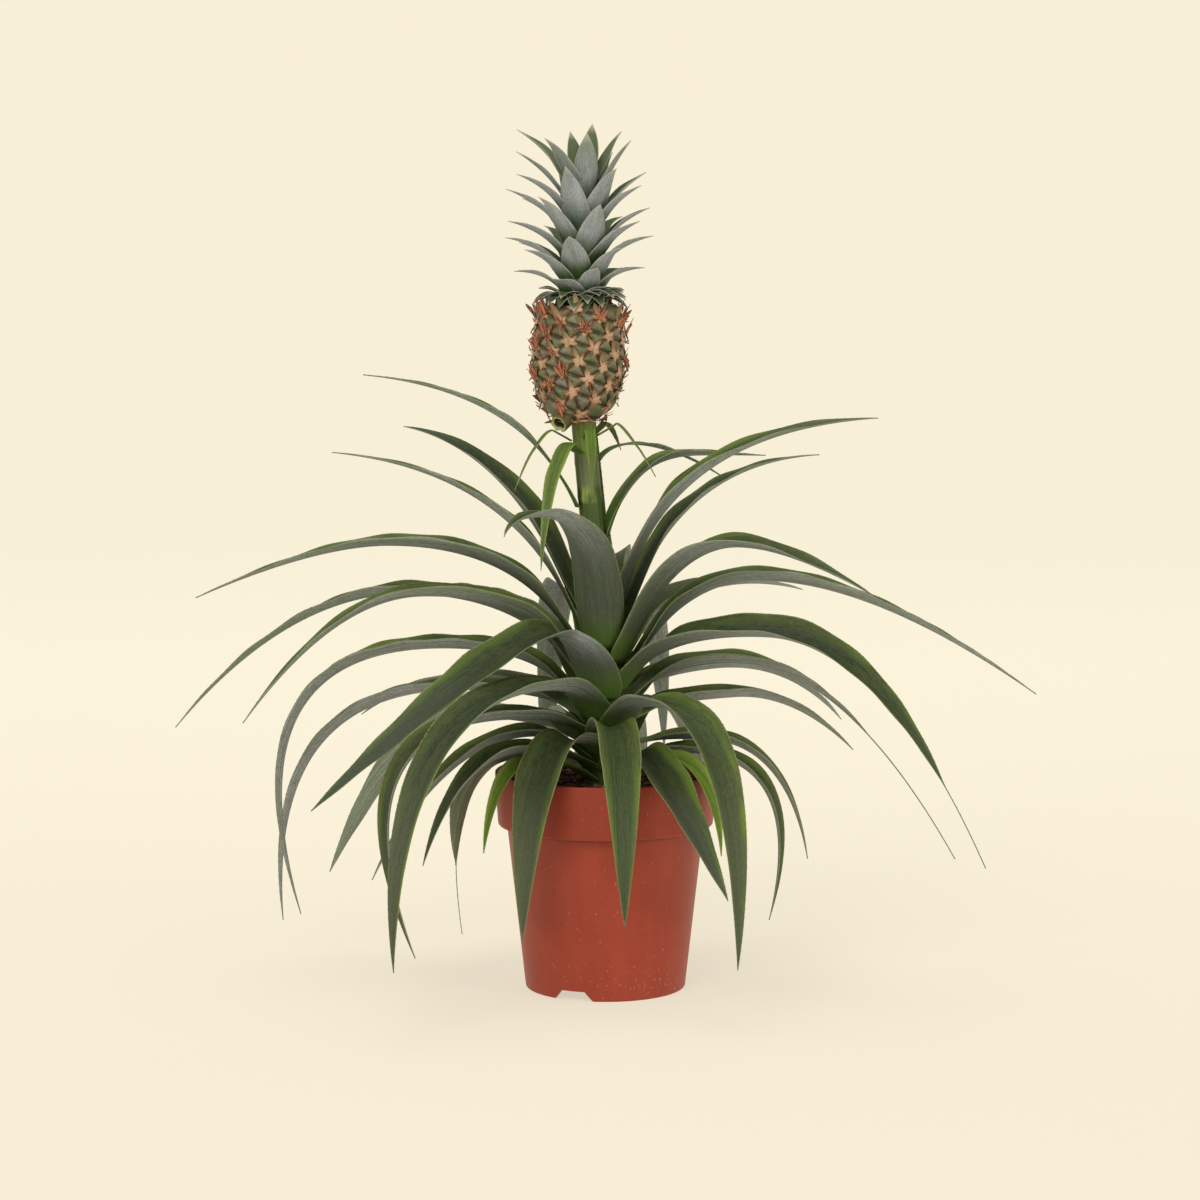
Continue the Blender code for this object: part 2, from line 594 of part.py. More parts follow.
def make_fruit():
    material = plain_material("pineapple skin", (0.22, 0.16, 0.07), 0.6)
    places = eye_places()
    eyes = [fruit_skin(bearing, share) for bearing, share in places]
    rings = [[fruit_middle(0)]]
    for i in range(FRUIT_ROWS + 1):
        share = i / FRUIT_ROWS
        middle = fruit_middle(share)
        ring = []
        for j in range(FRUIT_COLUMNS):
            skin = fruit_skin(360 * j / FRUIT_COLUMNS, share)
            near = sorted((skin - eye).length for eye in eyes)[:2]
            swell = smoothstep(0, EYE_SEAM, near[1] - near[0])
            swell *= smoothstep(0, 0.12, share) * smoothstep(1, 0.9, share)
            ring.append(skin + (skin - middle).normalized() * EYE_RISE * (swell - 0.3))
        rings.append(ring)
    rings.append([fruit_middle(1)])
    fruit = ring_solid("fruit", rings, material)
    draw = random.Random(11)
    pieces = []
    for number, ((bearing, share), eye) in enumerate(zip(places, eyes)):
        if share > BARE_SHARE:
            break
        out = (heading(bearing) + Vector((0, 0, 0.5 * (share - 0.3)))).normalized()
        bract = (heading(bearing) * 0.75 + Vector((0, 0, 0.8))).normalized()
        length = EYE_BRACT_LENGTH * (1 + 0.4 * smoothstep(0.6, 0.9, share))
        root = eye - out * 0.0015 - Vector((0, 0, 0.002))
        pieces.append(spike(f"eye bract {number}", root, bract, length, EYE_BRACT_RADIUS))
        if draw.random() < FLOWER_SHARE:
            for petal in range(draw.choice((1, 1, 2))):
                side = heading(bearing + 90) * draw.uniform(-0.5, 0.5)
                lean = (out + side + Vector((0, 0, draw.uniform(-0.3, 0.7)))).normalized()
                root = eye - out * 0.001 + side * 0.003 + Vector((0, 0, 0.001 * petal))
                length = draw.uniform(0.006, 0.009)
                pieces.append(spike(f"flower {number} {petal}", root, lean, length, FLOWER_RADIUS))
    pieces.append(make_slip_stub())
    fuse(fruit, pieces)
    shade_smooth(fruit, 45)
    return fruit


# Crown
CrownLeaf = namedtuple("CrownLeaf", "bearing foot reach tip width")

# Bearing, height of the foot over the fruit, (reach, height over the fruit) of the tip, and full width,
# from the lowest leaf to the highest
CROWN_LEAVES = (
    CrownLeaf(262, 0.000, 0.0255, -0.003, 0.014),
    CrownLeaf(298, 0.000, 0.026, -0.001, 0.013),
    CrownLeaf(226, 0.000, 0.025, 0.000, 0.013),
    CrownLeaf(8, 0.000, 0.025, 0.004, 0.013),
    CrownLeaf(150, 0.000, 0.026, 0.001, 0.013),
    CrownLeaf(75, 0.000, 0.025, 0.002, 0.013),
    CrownLeaf(340, 0.001, 0.026, 0.003, 0.014),
    CrownLeaf(196, 0.001, 0.027, 0.000, 0.014),
    CrownLeaf(30, 0.001, 0.027, 0.006, 0.013),
    CrownLeaf(280, 0.001, 0.024, 0.001, 0.013),
    CrownLeaf(314, 0.002, 0.026, 0.004, 0.014),
    CrownLeaf(244, 0.002, 0.024, 0.004, 0.013),
    CrownLeaf(112, 0.002, 0.028, 0.008, 0.014),
    CrownLeaf(246, 0.003, 0.024, 0.014, 0.015),
    CrownLeaf(290, 0.004, 0.026, 0.020, 0.014),
    CrownLeaf(185, 0.004, 0.036, 0.018, 0.014),
    CrownLeaf(350, 0.005, 0.035, 0.020, 0.015),
    CrownLeaf(38, 0.006, 0.034, 0.018, 0.015),
    CrownLeaf(216, 0.008, 0.037, 0.030, 0.017),
    CrownLeaf(318, 0.009, 0.029, 0.031, 0.016),
    CrownLeaf(90, 0.010, 0.038, 0.028, 0.016),
    CrownLeaf(150, 0.011, 0.039, 0.033, 0.016),
    CrownLeaf(256, 0.012, 0.026, 0.037, 0.018),
    CrownLeaf(178, 0.013, 0.041, 0.036, 0.016),
    CrownLeaf(355, 0.014, 0.039, 0.037, 0.017),
    CrownLeaf(120, 0.016, 0.041, 0.042, 0.016),
    CrownLeaf(196, 0.019, 0.041, 0.045, 0.018),
    CrownLeaf(330, 0.018, 0.036, 0.045, 0.018),
    CrownLeaf(292, 0.020, 0.027, 0.054, 0.019),
    CrownLeaf(58, 0.021, 0.042, 0.047, 0.016),
    CrownLeaf(8, 0.023, 0.037, 0.052, 0.017),
    CrownLeaf(226, 0.025, 0.033, 0.058, 0.018),
    CrownLeaf(145, 0.027, 0.040, 0.057, 0.016),
    CrownLeaf(180, 0.029, 0.041, 0.062, 0.017),
    CrownLeaf(85, 0.031, 0.038, 0.062, 0.016),
    CrownLeaf(338, 0.032, 0.034, 0.064, 0.018),
    CrownLeaf(22, 0.034, 0.037, 0.071, 0.016),
    CrownLeaf(248, 0.033, 0.024, 0.074, 0.019),
    CrownLeaf(312, 0.036, 0.027, 0.073, 0.018),
    CrownLeaf(202, 0.037, 0.038, 0.070, 0.018),
    CrownLeaf(118, 0.040, 0.034, 0.078, 0.016),
    CrownLeaf(186, 0.042, 0.036, 0.082, 0.017),
    CrownLeaf(60, 0.043, 0.032, 0.082, 0.016),
    CrownLeaf(350, 0.044, 0.026, 0.088, 0.016),
    CrownLeaf(278, 0.046, 0.014, 0.092, 0.018),
    CrownLeaf(152, 0.048, 0.041, 0.094, 0.017),
    CrownLeaf(220, 0.050, 0.027, 0.089, 0.017),
    CrownLeaf(28, 0.051, 0.023, 0.093, 0.014),
    CrownLeaf(118, 0.053, 0.016, 0.093, 0.014),
    CrownLeaf(70, 0.055, 0.013, 0.097, 0.016),
)


def crown_middle(height):
    """The crown's axis at a height over the fruit."""
    return fruit_middle(1) + Vector((CROWN_LEAN * height / CROWN_CORE_HEIGHT, 0, height))


def crown_core_radius(share):
    return CROWN_CORE_RADIUS * (1 - 0.7 * share)


def crown_ring(leaf, t):
    """Section of a crown leaf: t is 0 at its foot and 1 at its tip."""
    share = leaf.foot / CROWN_CORE_HEIGHT
    foot = Vector((crown_core_radius(share) - 0.0008, CROWN_FOOT + leaf.foot))
    tip = Vector((leaf.reach, leaf.tip))
    start = math.radians(CROWN_RISE[0] + (CROWN_RISE[1] - CROWN_RISE[0]) * share)
    turn = foot + Vector((math.cos(start), math.sin(start))) * (tip - foot).length * 0.5
    spot = bezier(foot, turn, tip, t)
    slope = ((turn - foot) * (1 - t) + (tip - turn) * t).normalized()
    blunt = CROWN_BLUNT[0] + (CROWN_BLUNT[1] - CROWN_BLUNT[0]) * smoothstep(0.026, 0.036, leaf.reach)
    half = leaf.width / 2 * max(0.06, min(1.0, 0.8 + 0.9 * t) * (1 - t**blunt))
    free = smoothstep(CROWN_CLASP_REACH, CROWN_FREE_REACH, spot.x)
    axis = crown_middle(CROWN_FOOT + leaf.foot)
    spot.y += FRUIT_TOP
    return channel_ring(axis, leaf.bearing, spot, slope, half, free, CROWN_FOLD, CROWN_LEAF_THICK)


def make_crown():
    sides = CROWN_CORE_SIDES
    material = plain_material("crown leaf", (0.16, 0.19, 0.17), 0.5)
    rings = [[crown_middle(GAP)]]
    for i in range(5):
        radius = crown_core_radius(i / 4)
        middle = crown_middle(GAP + CROWN_CORE_HEIGHT * i / 4)
        rings.append([middle + heading(360 * j / sides) * radius for j in range(sides)])
    rings.append([crown_middle(CROWN_CORE_HEIGHT + 0.003)])
    crown = ring_solid("crown", rings, material)
    leaves = []
    for number, leaf in enumerate(CROWN_LEAVES):
        steps = (0, 0.4, 0.75, 1) if leaf.foot < CROWN_LOW else (0, 0.3, 0.6, 0.82, 1)
        sections = [crown_ring(leaf, t) for t in steps]
        leaves.append(blade(f"crown leaf {number}", sections, material))
    fuse(crown, leaves)
    shade_smooth(crown, 50)
    return crown


clear_scene()
make_pot()
make_soil()
make_stem()
make_leaves()
make_bracts()
make_fruit()
make_crown()
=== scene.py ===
"""Looks of a small fruiting pineapple plant in its nursery pot.

Metres, +Z up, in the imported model's frame: the pot stands on z = 0, and the photograph shows the -Y side.
Bearings are degrees seen from above: 0 is right (+X), 90 is back (+Y), 180 is left, 270 is front.
"""

import math
import random
from collections import namedtuple

import bpy
from mathutils import Matrix, Vector, kdtree, noise


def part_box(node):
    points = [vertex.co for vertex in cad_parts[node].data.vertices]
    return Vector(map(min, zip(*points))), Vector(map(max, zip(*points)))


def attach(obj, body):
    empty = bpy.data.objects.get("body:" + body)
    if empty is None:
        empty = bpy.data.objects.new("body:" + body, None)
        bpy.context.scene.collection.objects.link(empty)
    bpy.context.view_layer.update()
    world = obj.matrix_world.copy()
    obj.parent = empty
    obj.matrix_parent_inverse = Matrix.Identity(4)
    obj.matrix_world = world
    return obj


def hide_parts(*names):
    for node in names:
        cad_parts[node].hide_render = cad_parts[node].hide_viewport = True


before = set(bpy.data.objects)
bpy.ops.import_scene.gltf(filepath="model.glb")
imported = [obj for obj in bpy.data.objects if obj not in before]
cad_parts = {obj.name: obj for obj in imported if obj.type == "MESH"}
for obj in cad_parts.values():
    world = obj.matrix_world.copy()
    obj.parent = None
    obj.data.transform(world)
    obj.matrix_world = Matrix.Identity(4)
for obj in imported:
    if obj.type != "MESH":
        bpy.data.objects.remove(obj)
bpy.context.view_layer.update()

# Pot
# One injection-moulded shell of terracotta-coloured plastic, 1.5 mm thick, with a deep lip. It stands on the
# foot of its wall, which has two notches, and its raised floor has six drain holes.
POT_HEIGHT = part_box("pot")[1].z
POT_RIM_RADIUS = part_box("pot")[1].x
POT_LIP_RADIUS = POT_RIM_RADIUS - 0.0015
POT_LIP_DEPTH = 0.0295
POT_BODY_RADIUS = 0.0540
POT_FOOT_RADIUS = 0.0440
POT_WALL = 0.0015
POT_FLOOR = 0.0068
POT_CORNER = 0.0015
POT_FOOT_WALL = 0.0030
POT_SIDES = 160
NOTCH_WIDTH = 0.023
NOTCH_TOP_WIDTH = 0.014
NOTCH_HEIGHT = 0.0054
NOTCH_DEPTH = 0.020
NOTCH_BEARINGS = (66, 246)
DRAIN_HOLE_RADIUS = 0.0035
DRAIN_HOLES = 6
DRAIN_CIRCLE = 0.029


class Paint:
    """A socket of a material's nodes. Arithmetic on it adds Math nodes, and add() adds any other node."""

    def __init__(self, material, socket=None):
        self.material = material
        self.socket = socket

    def add(self, kind, settings, sockets, output=0):
        """The output of a new node: its settings are set first, then its sockets' values or links."""
        tree = self.material.node_tree
        node = tree.nodes.new(kind)
        for name, value in settings.items():
            setattr(node, name, value)
        for name, value in sockets.items():
            if isinstance(value, Paint):
                tree.links.new(value.socket, node.inputs[name])
            else:
                node.inputs[name].default_value = value
        return Paint(self.material, node.outputs[output])

    def math(self, operation, a, b=0.0):
        return self.add("ShaderNodeMath", {"operation": operation}, {0: a, 1: b})

    def __add__(self, other):
        return self.math("ADD", self, other)

    def __sub__(self, other):
        return self.math("SUBTRACT", self, other)

    def __rsub__(self, other):
        return self.math("SUBTRACT", other, self)

    def __mul__(self, other):
        return self.math("MULTIPLY", self, other)

    def __abs__(self):
        return self.math("ABSOLUTE", self)

    __radd__ = __add__
    __rmul__ = __mul__

    def step(self, low, high):
        """0 below low and 1 above high, with a smooth rise between."""
        ends = {"Value": self, "From Min": low, "From Max": high}
        return self.add("ShaderNodeMapRange", {"interpolation_type": "SMOOTHSTEP"}, ends)

    def clip(self):
        """Held between 0 and 1."""
        return self.add("ShaderNodeClamp", {}, {"Value": self})

    def axis(self, name):
        return self.add("ShaderNodeSeparateXYZ", {}, {"Vector": self}, name)

    def stretched(self, x, y, z):
        return self.add("ShaderNodeVectorMath", {"operation": "MULTIPLY"}, {0: self, 1: (x, y, z)})

    def noise(self, scale, detail=3.0):
        """Soft noise from 0 to 1 over this vector."""
        return self.add("ShaderNodeTexNoise", {}, {"Vector": self, "Scale": scale, "Detail": detail}, "Fac")

    def place(self):
        """Position in the part's frame, in metres."""
        return self.add("ShaderNodeTexCoord", {}, {}, "Object")

    def mark(self, name):
        """What the mesh stores at its points under that name."""
        return self.add("ShaderNodeAttribute", {"attribute_name": name}, {}, "Vector")

    def blend(self, low, high):
        """A colour from low to high, as this value goes from 0 to 1."""
        return self.add("ShaderNodeMix", {"data_type": "RGBA"}, {0: self, 6: low, 7: high}, 2)

    def bump(self, distance, strength=1.0):
        ends = {"Height": self, "Distance": distance, "Strength": strength}
        return self.add("ShaderNodeBump", {}, ends)

    def feed(self, sockets):
        """Links what varies over the surface to the shader, and gives the material."""
        tree = self.material.node_tree
        for name, value in sockets.items():
            tree.links.new(value.socket, tree.nodes["Principled BSDF"].inputs[name])
        return self.material

    def finish(self, colour, roughness, normal):
        return self.feed({"Base Color": colour, "Roughness": roughness, "Normal": normal})


def new_paint(name, constants):
    """The start of a new material's paint, with the values that don't vary on the shader's own sockets."""
    material = bpy.data.materials.new(name)
    material.use_nodes = True
    shader = material.node_tree.nodes["Principled BSDF"]
    for socket, value in constants.items():
        shader.inputs[socket].default_value = value
    return Paint(material)


def rgb(*thousandths):
    """A colour from its red, green and blue in thousandths."""
    return (*[value / 1000 for value in thousandths], 1.0)


def coated(colour, *coats):
    """A colour under coats of (how much, of what colour), the lowest first."""
    for share, coat in coats:
        colour = share.blend(colour, coat)
    return colour


def add_object(name, data):
    thing = bpy.data.objects.new(name, data)
    bpy.context.scene.collection.objects.link(thing)
    return thing


def add_mesh(name, points, faces, material=None):
    mesh = bpy.data.meshes.new(name)
    mesh.from_pydata([tuple(point) for point in points], [], faces)
    if material:
        mesh.materials.append(material)
        mesh.shade_smooth()
    return add_object(name, mesh)


def add_piece(name, points, faces, material, slot, nodes=(), marks=None):
    """A mesh that rides on the plant, takes the given finish and stands for CAD nodes; slot is not used."""
    piece = add_mesh(name, points, faces, material)
    for mark, values in (marks or {}).items():
        layer = piece.data.attributes.new(mark, "FLOAT_VECTOR", "POINT")
        layer.data.foreach_set("vector", [number for value in values for number in value])
    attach(piece, "root")
    if nodes:
        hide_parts(*nodes)
    return piece


def heading(bearing):
    """The level direction of a bearing in degrees."""
    turn = math.radians(bearing)
    return Vector((math.cos(turn), math.sin(turn), 0))


def level_ring(radius, height, sides):
    return [heading(360 * i / sides) * radius + Vector((0, 0, height)) for i in range(sides)]


def ring_faces(rings):
    """Faces between rings of points that are listed one ring after another; a ring of one closes an end."""
    faces = []
    start = 0
    for a, b in zip(rings, rings[1:]):
        after = start + len(a)
        count = max(len(a), len(b))
        for j in range(count):
            k = (j + 1) % count
            corners = (start + j % len(a), start + k % len(a), after + k % len(b), after + j % len(b))
            faces.append(tuple(dict.fromkeys(corners)))
        start = after
    return faces


def turned(outline, sides):
    """Rings of an outline of (reach, height), turned round the pot's middle."""
    return [level_ring(reach, height, sides if reach else 1) for reach, height in outline]


def closed(rings):
    """Points and faces of a closed body through rings of points; one point alone ends it in a tip."""
    points = [point for ring in rings for point in ring]
    caps = [range(len(rings[0]) - 1, -1, -1), range(len(points) - len(rings[-1]), len(points))]
    return points, ring_faces(rings) + [tuple(cap) for cap in caps if len(cap) > 2]


def arc(middle, radius, start, end, count):
    """Points (reach, height) round part of a circle, angles in degrees."""
    turns = [math.radians(start + (end - start) * i / count) for i in range(count + 1)]
    return [(middle[0] + radius * math.cos(t), middle[1] + radius * math.sin(t)) for t in turns]


def pot_outline():
    """(reach, height) down the pot's section, from the middle of its floor over the rim to its underside."""
    floor_top = POT_FLOOR + POT_WALL
    lip_bottom = POT_HEIGHT - POT_LIP_DEPTH
    edge = POT_WALL / 2
    foot_inside = POT_FOOT_RADIUS - POT_FOOT_WALL
    outline = [(0, floor_top), (POT_FOOT_RADIUS - 2 * POT_WALL, floor_top)]
    outline += [(POT_FOOT_RADIUS - POT_WALL, floor_top + 2 * POT_WALL)]
    outline += [(POT_BODY_RADIUS - POT_WALL, lip_bottom - POT_WALL)]
    outline += [(POT_LIP_RADIUS - 2 * POT_WALL, lip_bottom + POT_WALL)]
    outline += [(POT_LIP_RADIUS - POT_WALL, lip_bottom + 2 * POT_WALL)]
    outline += [(POT_RIM_RADIUS - POT_WALL, POT_HEIGHT - edge)]
    outline += arc((POT_RIM_RADIUS - edge, POT_HEIGHT - edge), edge, 150, 0, 8)
    outline += [(POT_RIM_RADIUS - edge * 0.2, POT_HEIGHT - POT_LIP_DEPTH * 0.3)]
    outline += arc((POT_LIP_RADIUS - POT_WALL, lip_bottom + POT_WALL), POT_WALL, 0, -90, 8)
    outline += [(POT_BODY_RADIUS + edge * 0.4, lip_bottom)]
    outline += [(POT_BODY_RADIUS, lip_bottom - edge * 0.6)]
    outline += [((POT_BODY_RADIUS + POT_FOOT_RADIUS) / 2, (lip_bottom + POT_CORNER) / 2)]
    outline += arc((POT_FOOT_RADIUS - POT_CORNER, POT_CORNER), POT_CORNER, 0, -90, 6)
    outline += arc((foot_inside + edge, edge), edge, -90, -180, 3)
    outline += [(foot_inside, POT_FLOOR), (0, POT_FLOOR)]
    return outline


def cut_away(piece, tools):
    """Cuts each tool out of the piece, then removes the tools."""
    for tool in tools:
        boolean = piece.modifiers.new("Cut", "BOOLEAN")
        boolean.operation = "DIFFERENCE"
        boolean.object = tool
    graph = bpy.context.evaluated_depsgraph_get()
    mesh = bpy.data.meshes.new_from_object(piece.evaluated_get(graph))
    piece.modifiers.clear()
    piece.data = mesh
    for tool in tools:
        bpy.data.objects.remove(tool, do_unlink=True)


def notch_cutter(bearing):
    """A block across the foot of the wall whose ends slope together upward."""
    middle = heading(bearing) * POT_FOOT_RADIUS
    out = heading(bearing) * NOTCH_DEPTH / 2
    side = heading(bearing + 90)
    points = []
    low_half = NOTCH_WIDTH - NOTCH_TOP_WIDTH / 2
    for half, height in ((low_half, -NOTCH_HEIGHT), (NOTCH_TOP_WIDTH / 2, NOTCH_HEIGHT)):
        for reach, across in ((-1, -1), (1, -1), (1, 1), (-1, 1)):
            points.append(middle + out * reach + side * across * half + Vector((0, 0, height)))
    faces = [(3, 2, 1, 0), (4, 5, 6, 7)] + [(i, (i + 1) % 4, (i + 1) % 4 + 4, i + 4) for i in range(4)]
    return add_mesh("notch cutter", points, faces)


def pot_cutters():
    tools = [notch_cutter(bearing) for bearing in NOTCH_BEARINGS]
    for number in range(DRAIN_HOLES):
        bpy.ops.mesh.primitive_cylinder_add(vertices=32, radius=DRAIN_HOLE_RADIUS, depth=4 * POT_WALL)
        drill = bpy.context.object
        drill.location = heading(360 * number / DRAIN_HOLES) * DRAIN_CIRCLE
        drill.location.z = POT_FLOOR + POT_WALL / 2
        tools.append(drill)
    return tools


def terracotta_plastic():
    """Moulded plastic: faint flow marks, a few pale specks, water scuffs in one patch near the foot and a
    painted shadow under the lip.
    """
    paint = new_paint("terracotta plastic", {"Specular IOR Level": 0.24})
    place = paint.place()
    height = place.axis("Z")
    clouds = place.noise(28, 4)
    flow = place.stretched(1, 1, 0.12).noise(160, 3)
    low = 1 - height.step(0.008, 0.034)
    patch = low * (place.noise(34, 2).step(0.50, 0.64) + place.axis("X").step(0.014, 0.028)).clip()
    scuffs = place.stretched(1, 1, 0.7).noise(700, 3).step(0.60, 0.74) * patch
    dust = place.noise(640, 1).step(0.735, 0.765)
    grain = place.noise(2600, 2)
    lip_bottom = POT_HEIGHT - POT_LIP_DEPTH
    # Painted shadow: a thin dark band just under the lip, where the lip overhangs the body.
    under_lip = height.step(lip_bottom - 0.0016, lip_bottom - 0.0006)
    lip_shadow_line = under_lip * (1 - height.step(lip_bottom, lip_bottom + 0.0008))
    colour = coated(
        (clouds * 0.7 + flow * 0.3).step(0.3, 0.72).blend(rgb(280, 42, 22), rgb(345, 54, 30)),
        (lip_shadow_line * 0.55, rgb(85, 16, 10)),
        ((scuffs * 0.6 + dust * 0.45).clip(), rgb(560, 270, 200)),
    )
    return paint.finish(colour, 0.40 + clouds * 0.12 + scuffs * 0.2, (grain + flow * 0.6).bump(0.00006, 0.6))


pot_points, pot_faces = closed(turned(pot_outline(), POT_SIDES))
pot_faces = [face[::-1] for face in pot_faces]
pot = add_piece("pot_shell", pot_points, pot_faces, terracotta_plastic(), "pot_plastic", ["pot"])
cut_away(pot, pot_cutters())
pot.data.shade_smooth()
pot.data.set_sharp_from_angle(angle=math.radians(32))

# Soil
# Loose coir and bark mix, pressed in by hand and sunk a little at the wall. Bark chips, a few fibres and
# pale grit lie on top, and the stem stands in it.
SOIL_TOP = 0.1125
SOIL_RELIEF = 0.0022
SOIL_SHOULDER = 0.003
SOIL_SIDES = 120
SOIL_RINGS = 30
STEM_HOLE_DEPTH = 0.040
STEM_RADIUS_BOTTOM = 0.0115
GAP = 0.0003
CHIPS = 1500
CHIP_SIZES = (0.0011, 0.0014, 0.0019, 0.0026, 0.0036)
CHIP_STRETCH = 1.5  # how much longer than wide a chip is
FIBRES = 160
FIBRE_RADIUS = 0.00016
FIBRE_STEPS = 6
LITTER_REACH = (0.0135, 0.0545)  # chips and fibres lie between these distances from the pot's middle


class Heap:
    """A mesh that is put together from many bits, with the marks at its points."""

    def __init__(self, *marks):
        self.points = []
        self.faces = []
        self.marks = {mark: [] for mark in marks}

    def add(self, points, faces, marks):
        """Adds a bit. Each mark is one value for the whole bit, or a list of one for each of its points."""
        first = len(self.points)
        self.points += points
        self.faces += [tuple(first + corner for corner in face) for face in faces]
        for mark, value in marks.items():
            self.marks[mark] += value if isinstance(value, list) else [value] * len(points)

    def dress(self, name, material, slot, nodes=()):
        return add_piece(name, self.points, self.faces, material, slot, nodes, self.marks)


def soil_height(point):
    """Height of the soil's surface over a level point."""
    coarse = SOIL_RELIEF * noise.noise(point * 140) + SOIL_RELIEF * 0.6 * noise.noise(point * 420)
    return SOIL_TOP + coarse + 0.0005 * noise.noise(point * 1500)


def soil_rings():
    """The soil's body, from the bottom of its stem hole over its surface and down the pot's wall."""
    hole = STEM_RADIUS_BOTTOM + GAP
    wall = POT_WALL + 4 * GAP
    edge = POT_LIP_RADIUS - wall
    lip_bottom = POT_HEIGHT - POT_LIP_DEPTH
    hole_bottom = SOIL_TOP - STEM_HOLE_DEPTH
    bottom = POT_FLOOR + POT_WALL + 2 * GAP
    rings = turned([(0, hole_bottom), (hole, hole_bottom), (hole, SOIL_TOP - 0.002)], SOIL_SIDES)
    for i in range(1, SOIL_RINGS + 1):
        ring = level_ring(hole + (edge - SOIL_SHOULDER - hole) * i / SOIL_RINGS, 0, SOIL_SIDES)
        rings.append([point + Vector((0, 0, soil_height(point))) for point in ring])
    side = [(edge, SOIL_TOP - SOIL_SHOULDER), (edge - 0.001, lip_bottom + 3 * POT_WALL)]
    side += [(POT_BODY_RADIUS - wall - 0.0005, lip_bottom)]
    side += [(POT_FOOT_RADIUS - wall - 0.0005, POT_FLOOR + 4 * POT_WALL)]
    side += [(POT_FOOT_RADIUS - wall - 0.004, bottom), (0, bottom)]
    return rings + turned(side, SOIL_SIDES)


def soil_spot(draw):
    """A chance point on the soil's surface, clear of the stem and the pot's wall."""
    nearest, farthest = LITTER_REACH
    reach = math.sqrt(draw.uniform(nearest**2, farthest**2))
    level = heading(draw.uniform(0, 360)) * reach
    return level + Vector((0, 0, soil_height(level)))


def bark_chip(draw):
    """A flat broken chip of bark, with six corners, lying askew."""
    size = draw.choice(CHIP_SIZES)
    turn = Matrix.Rotation(draw.uniform(0, 6.3), 3, "Z") @ Matrix.Rotation(draw.uniform(-0.7, 0.7), 3, "X")
    middle = soil_spot(draw) + Vector((0, 0, size * 0.2))
    rings = []
    for level in (-0.25, 0.25):
        ring = []
        for i in range(6):
            reach = size * draw.uniform(0.35, 0.62)
            ray = heading(60 * i) * reach
            ring.append(middle + turn @ Vector((ray.x * CHIP_STRETCH, ray.y, level * size)))
        rings.append(ring)
    return closed(rings)


def wire(path, radius, sides=4):
    """A thin tube along a path of points, thinner towards its end."""
    rings = []
    for i, point in enumerate(path):
        along = (path[min(i + 1, len(path) - 1)] - path[max(i - 1, 0)]).normalized()
        spoke = along.orthogonal().normalized() * radius * (1 - 0.6 * i / len(path))
        turns = [Matrix.Rotation(2 * math.pi * j / sides, 3, along) for j in range(sides)]
        rings.append([point + turn @ spoke for turn in turns])
    return closed(rings)


def coir_fibre(draw):
    """A springy coir fibre, lying over the chips."""
    start = soil_spot(draw)
    along = heading(draw.uniform(0, 360))
    bend = heading(draw.uniform(0, 360)) * 0.004
    length = draw.uniform(0.006, 0.014)
    path = []
    for i in range(FIBRE_STEPS + 1):
        share = i / FIBRE_STEPS
        level = (start + along * length * (share - 0.5) + bend * share * share).to_2d()
        level *= LITTER_REACH[1] / max(LITTER_REACH[1], level.length)
        point = level.to_3d()
        lift = 0.0004 + 0.0012 * math.sin(math.pi * share)
        path.append(point + Vector((0, 0, soil_height(point) + lift)))
    return wire(path, FIBRE_RADIUS)


def coir_and_bark():
    """Dark red-brown crumbs. The mark chip is 0 on the bed and says how pale a chip or fibre is."""
    paint = new_paint("coir and bark", {"Specular IOR Level": 0.25})
    place = paint.place()
    crumbs = place.noise(420, 5)
    tone = paint.mark("chip").axis("X")
    colour = coated(
        place.noise(90, 3).blend(rgb(16, 7, 5), rgb(48, 18, 12)),
        (crumbs.step(0.40, 0.70), rgb(170, 62, 42)),
        (tone.step(0.05, 0.75), rgb(270, 110, 70)),
        (tone.step(0.86, 0.97), rgb(460, 360, 260)),
    )
    return paint.finish(colour, 0.78 + crumbs * 0.2, (crumbs + place.noise(1500, 3) * 0.5).bump(0.0006))


soil_finish = coir_and_bark()
bed = Heap("chip")
bed.add(*closed(soil_rings()), {"chip": (0, 0, 0)})
bed.dress("soil_bed", soil_finish, "soil", ["soil"])
litter = Heap("chip")
litter_draw = random.Random(3)
for _ in range(CHIPS):
    litter.add(*bark_chip(litter_draw), {"chip": (litter_draw.random() ** 1.6, litter_draw.random(), 0)})
for _ in range(FIBRES):
    litter.add(*coir_fibre(litter_draw),
               {"chip": (0.75 + 0.2 * litter_draw.random(), litter_draw.random(), 0)})
litter.dress("soil_chips", soil_finish, "soil").data.shade_flat()

# Stem
# One fleshy stalk from the soil to the fruit, hidden in the leaf bases below and bare above them. It is
# grey-green, turns yellow-green just under the fruit, and leans a little to the left.
STEM_RADIUS_NECK = 0.0066
STEM_NECK_HEIGHT = 0.240
STEM_NODES = (0.252, 0.271, 0.289)
LEAN = 0.017
LEAN_START = 0.130
LEAN_END = 0.410
FRUIT_BOTTOM = 0.3125
STEM_SIDES = 64
STEM_RINGS = 120


def smoothstep(low, high, value):
    share = min(1.0, max(0.0, (value - low) / (high - low)))
    return share * share * (3 - 2 * share)


def axis_point(height):
    """The middle of the stem, fruit and crown, which lean left above the soil."""
    return Vector((-LEAN * smoothstep(LEAN_START, LEAN_END, height), 0, height))


def stem_radius(height):
    thinner = smoothstep(SOIL_TOP + 0.01, STEM_NECK_HEIGHT, height)
    return STEM_RADIUS_NECK + (STEM_RADIUS_BOTTOM - STEM_RADIUS_NECK) * (1 - thinner)


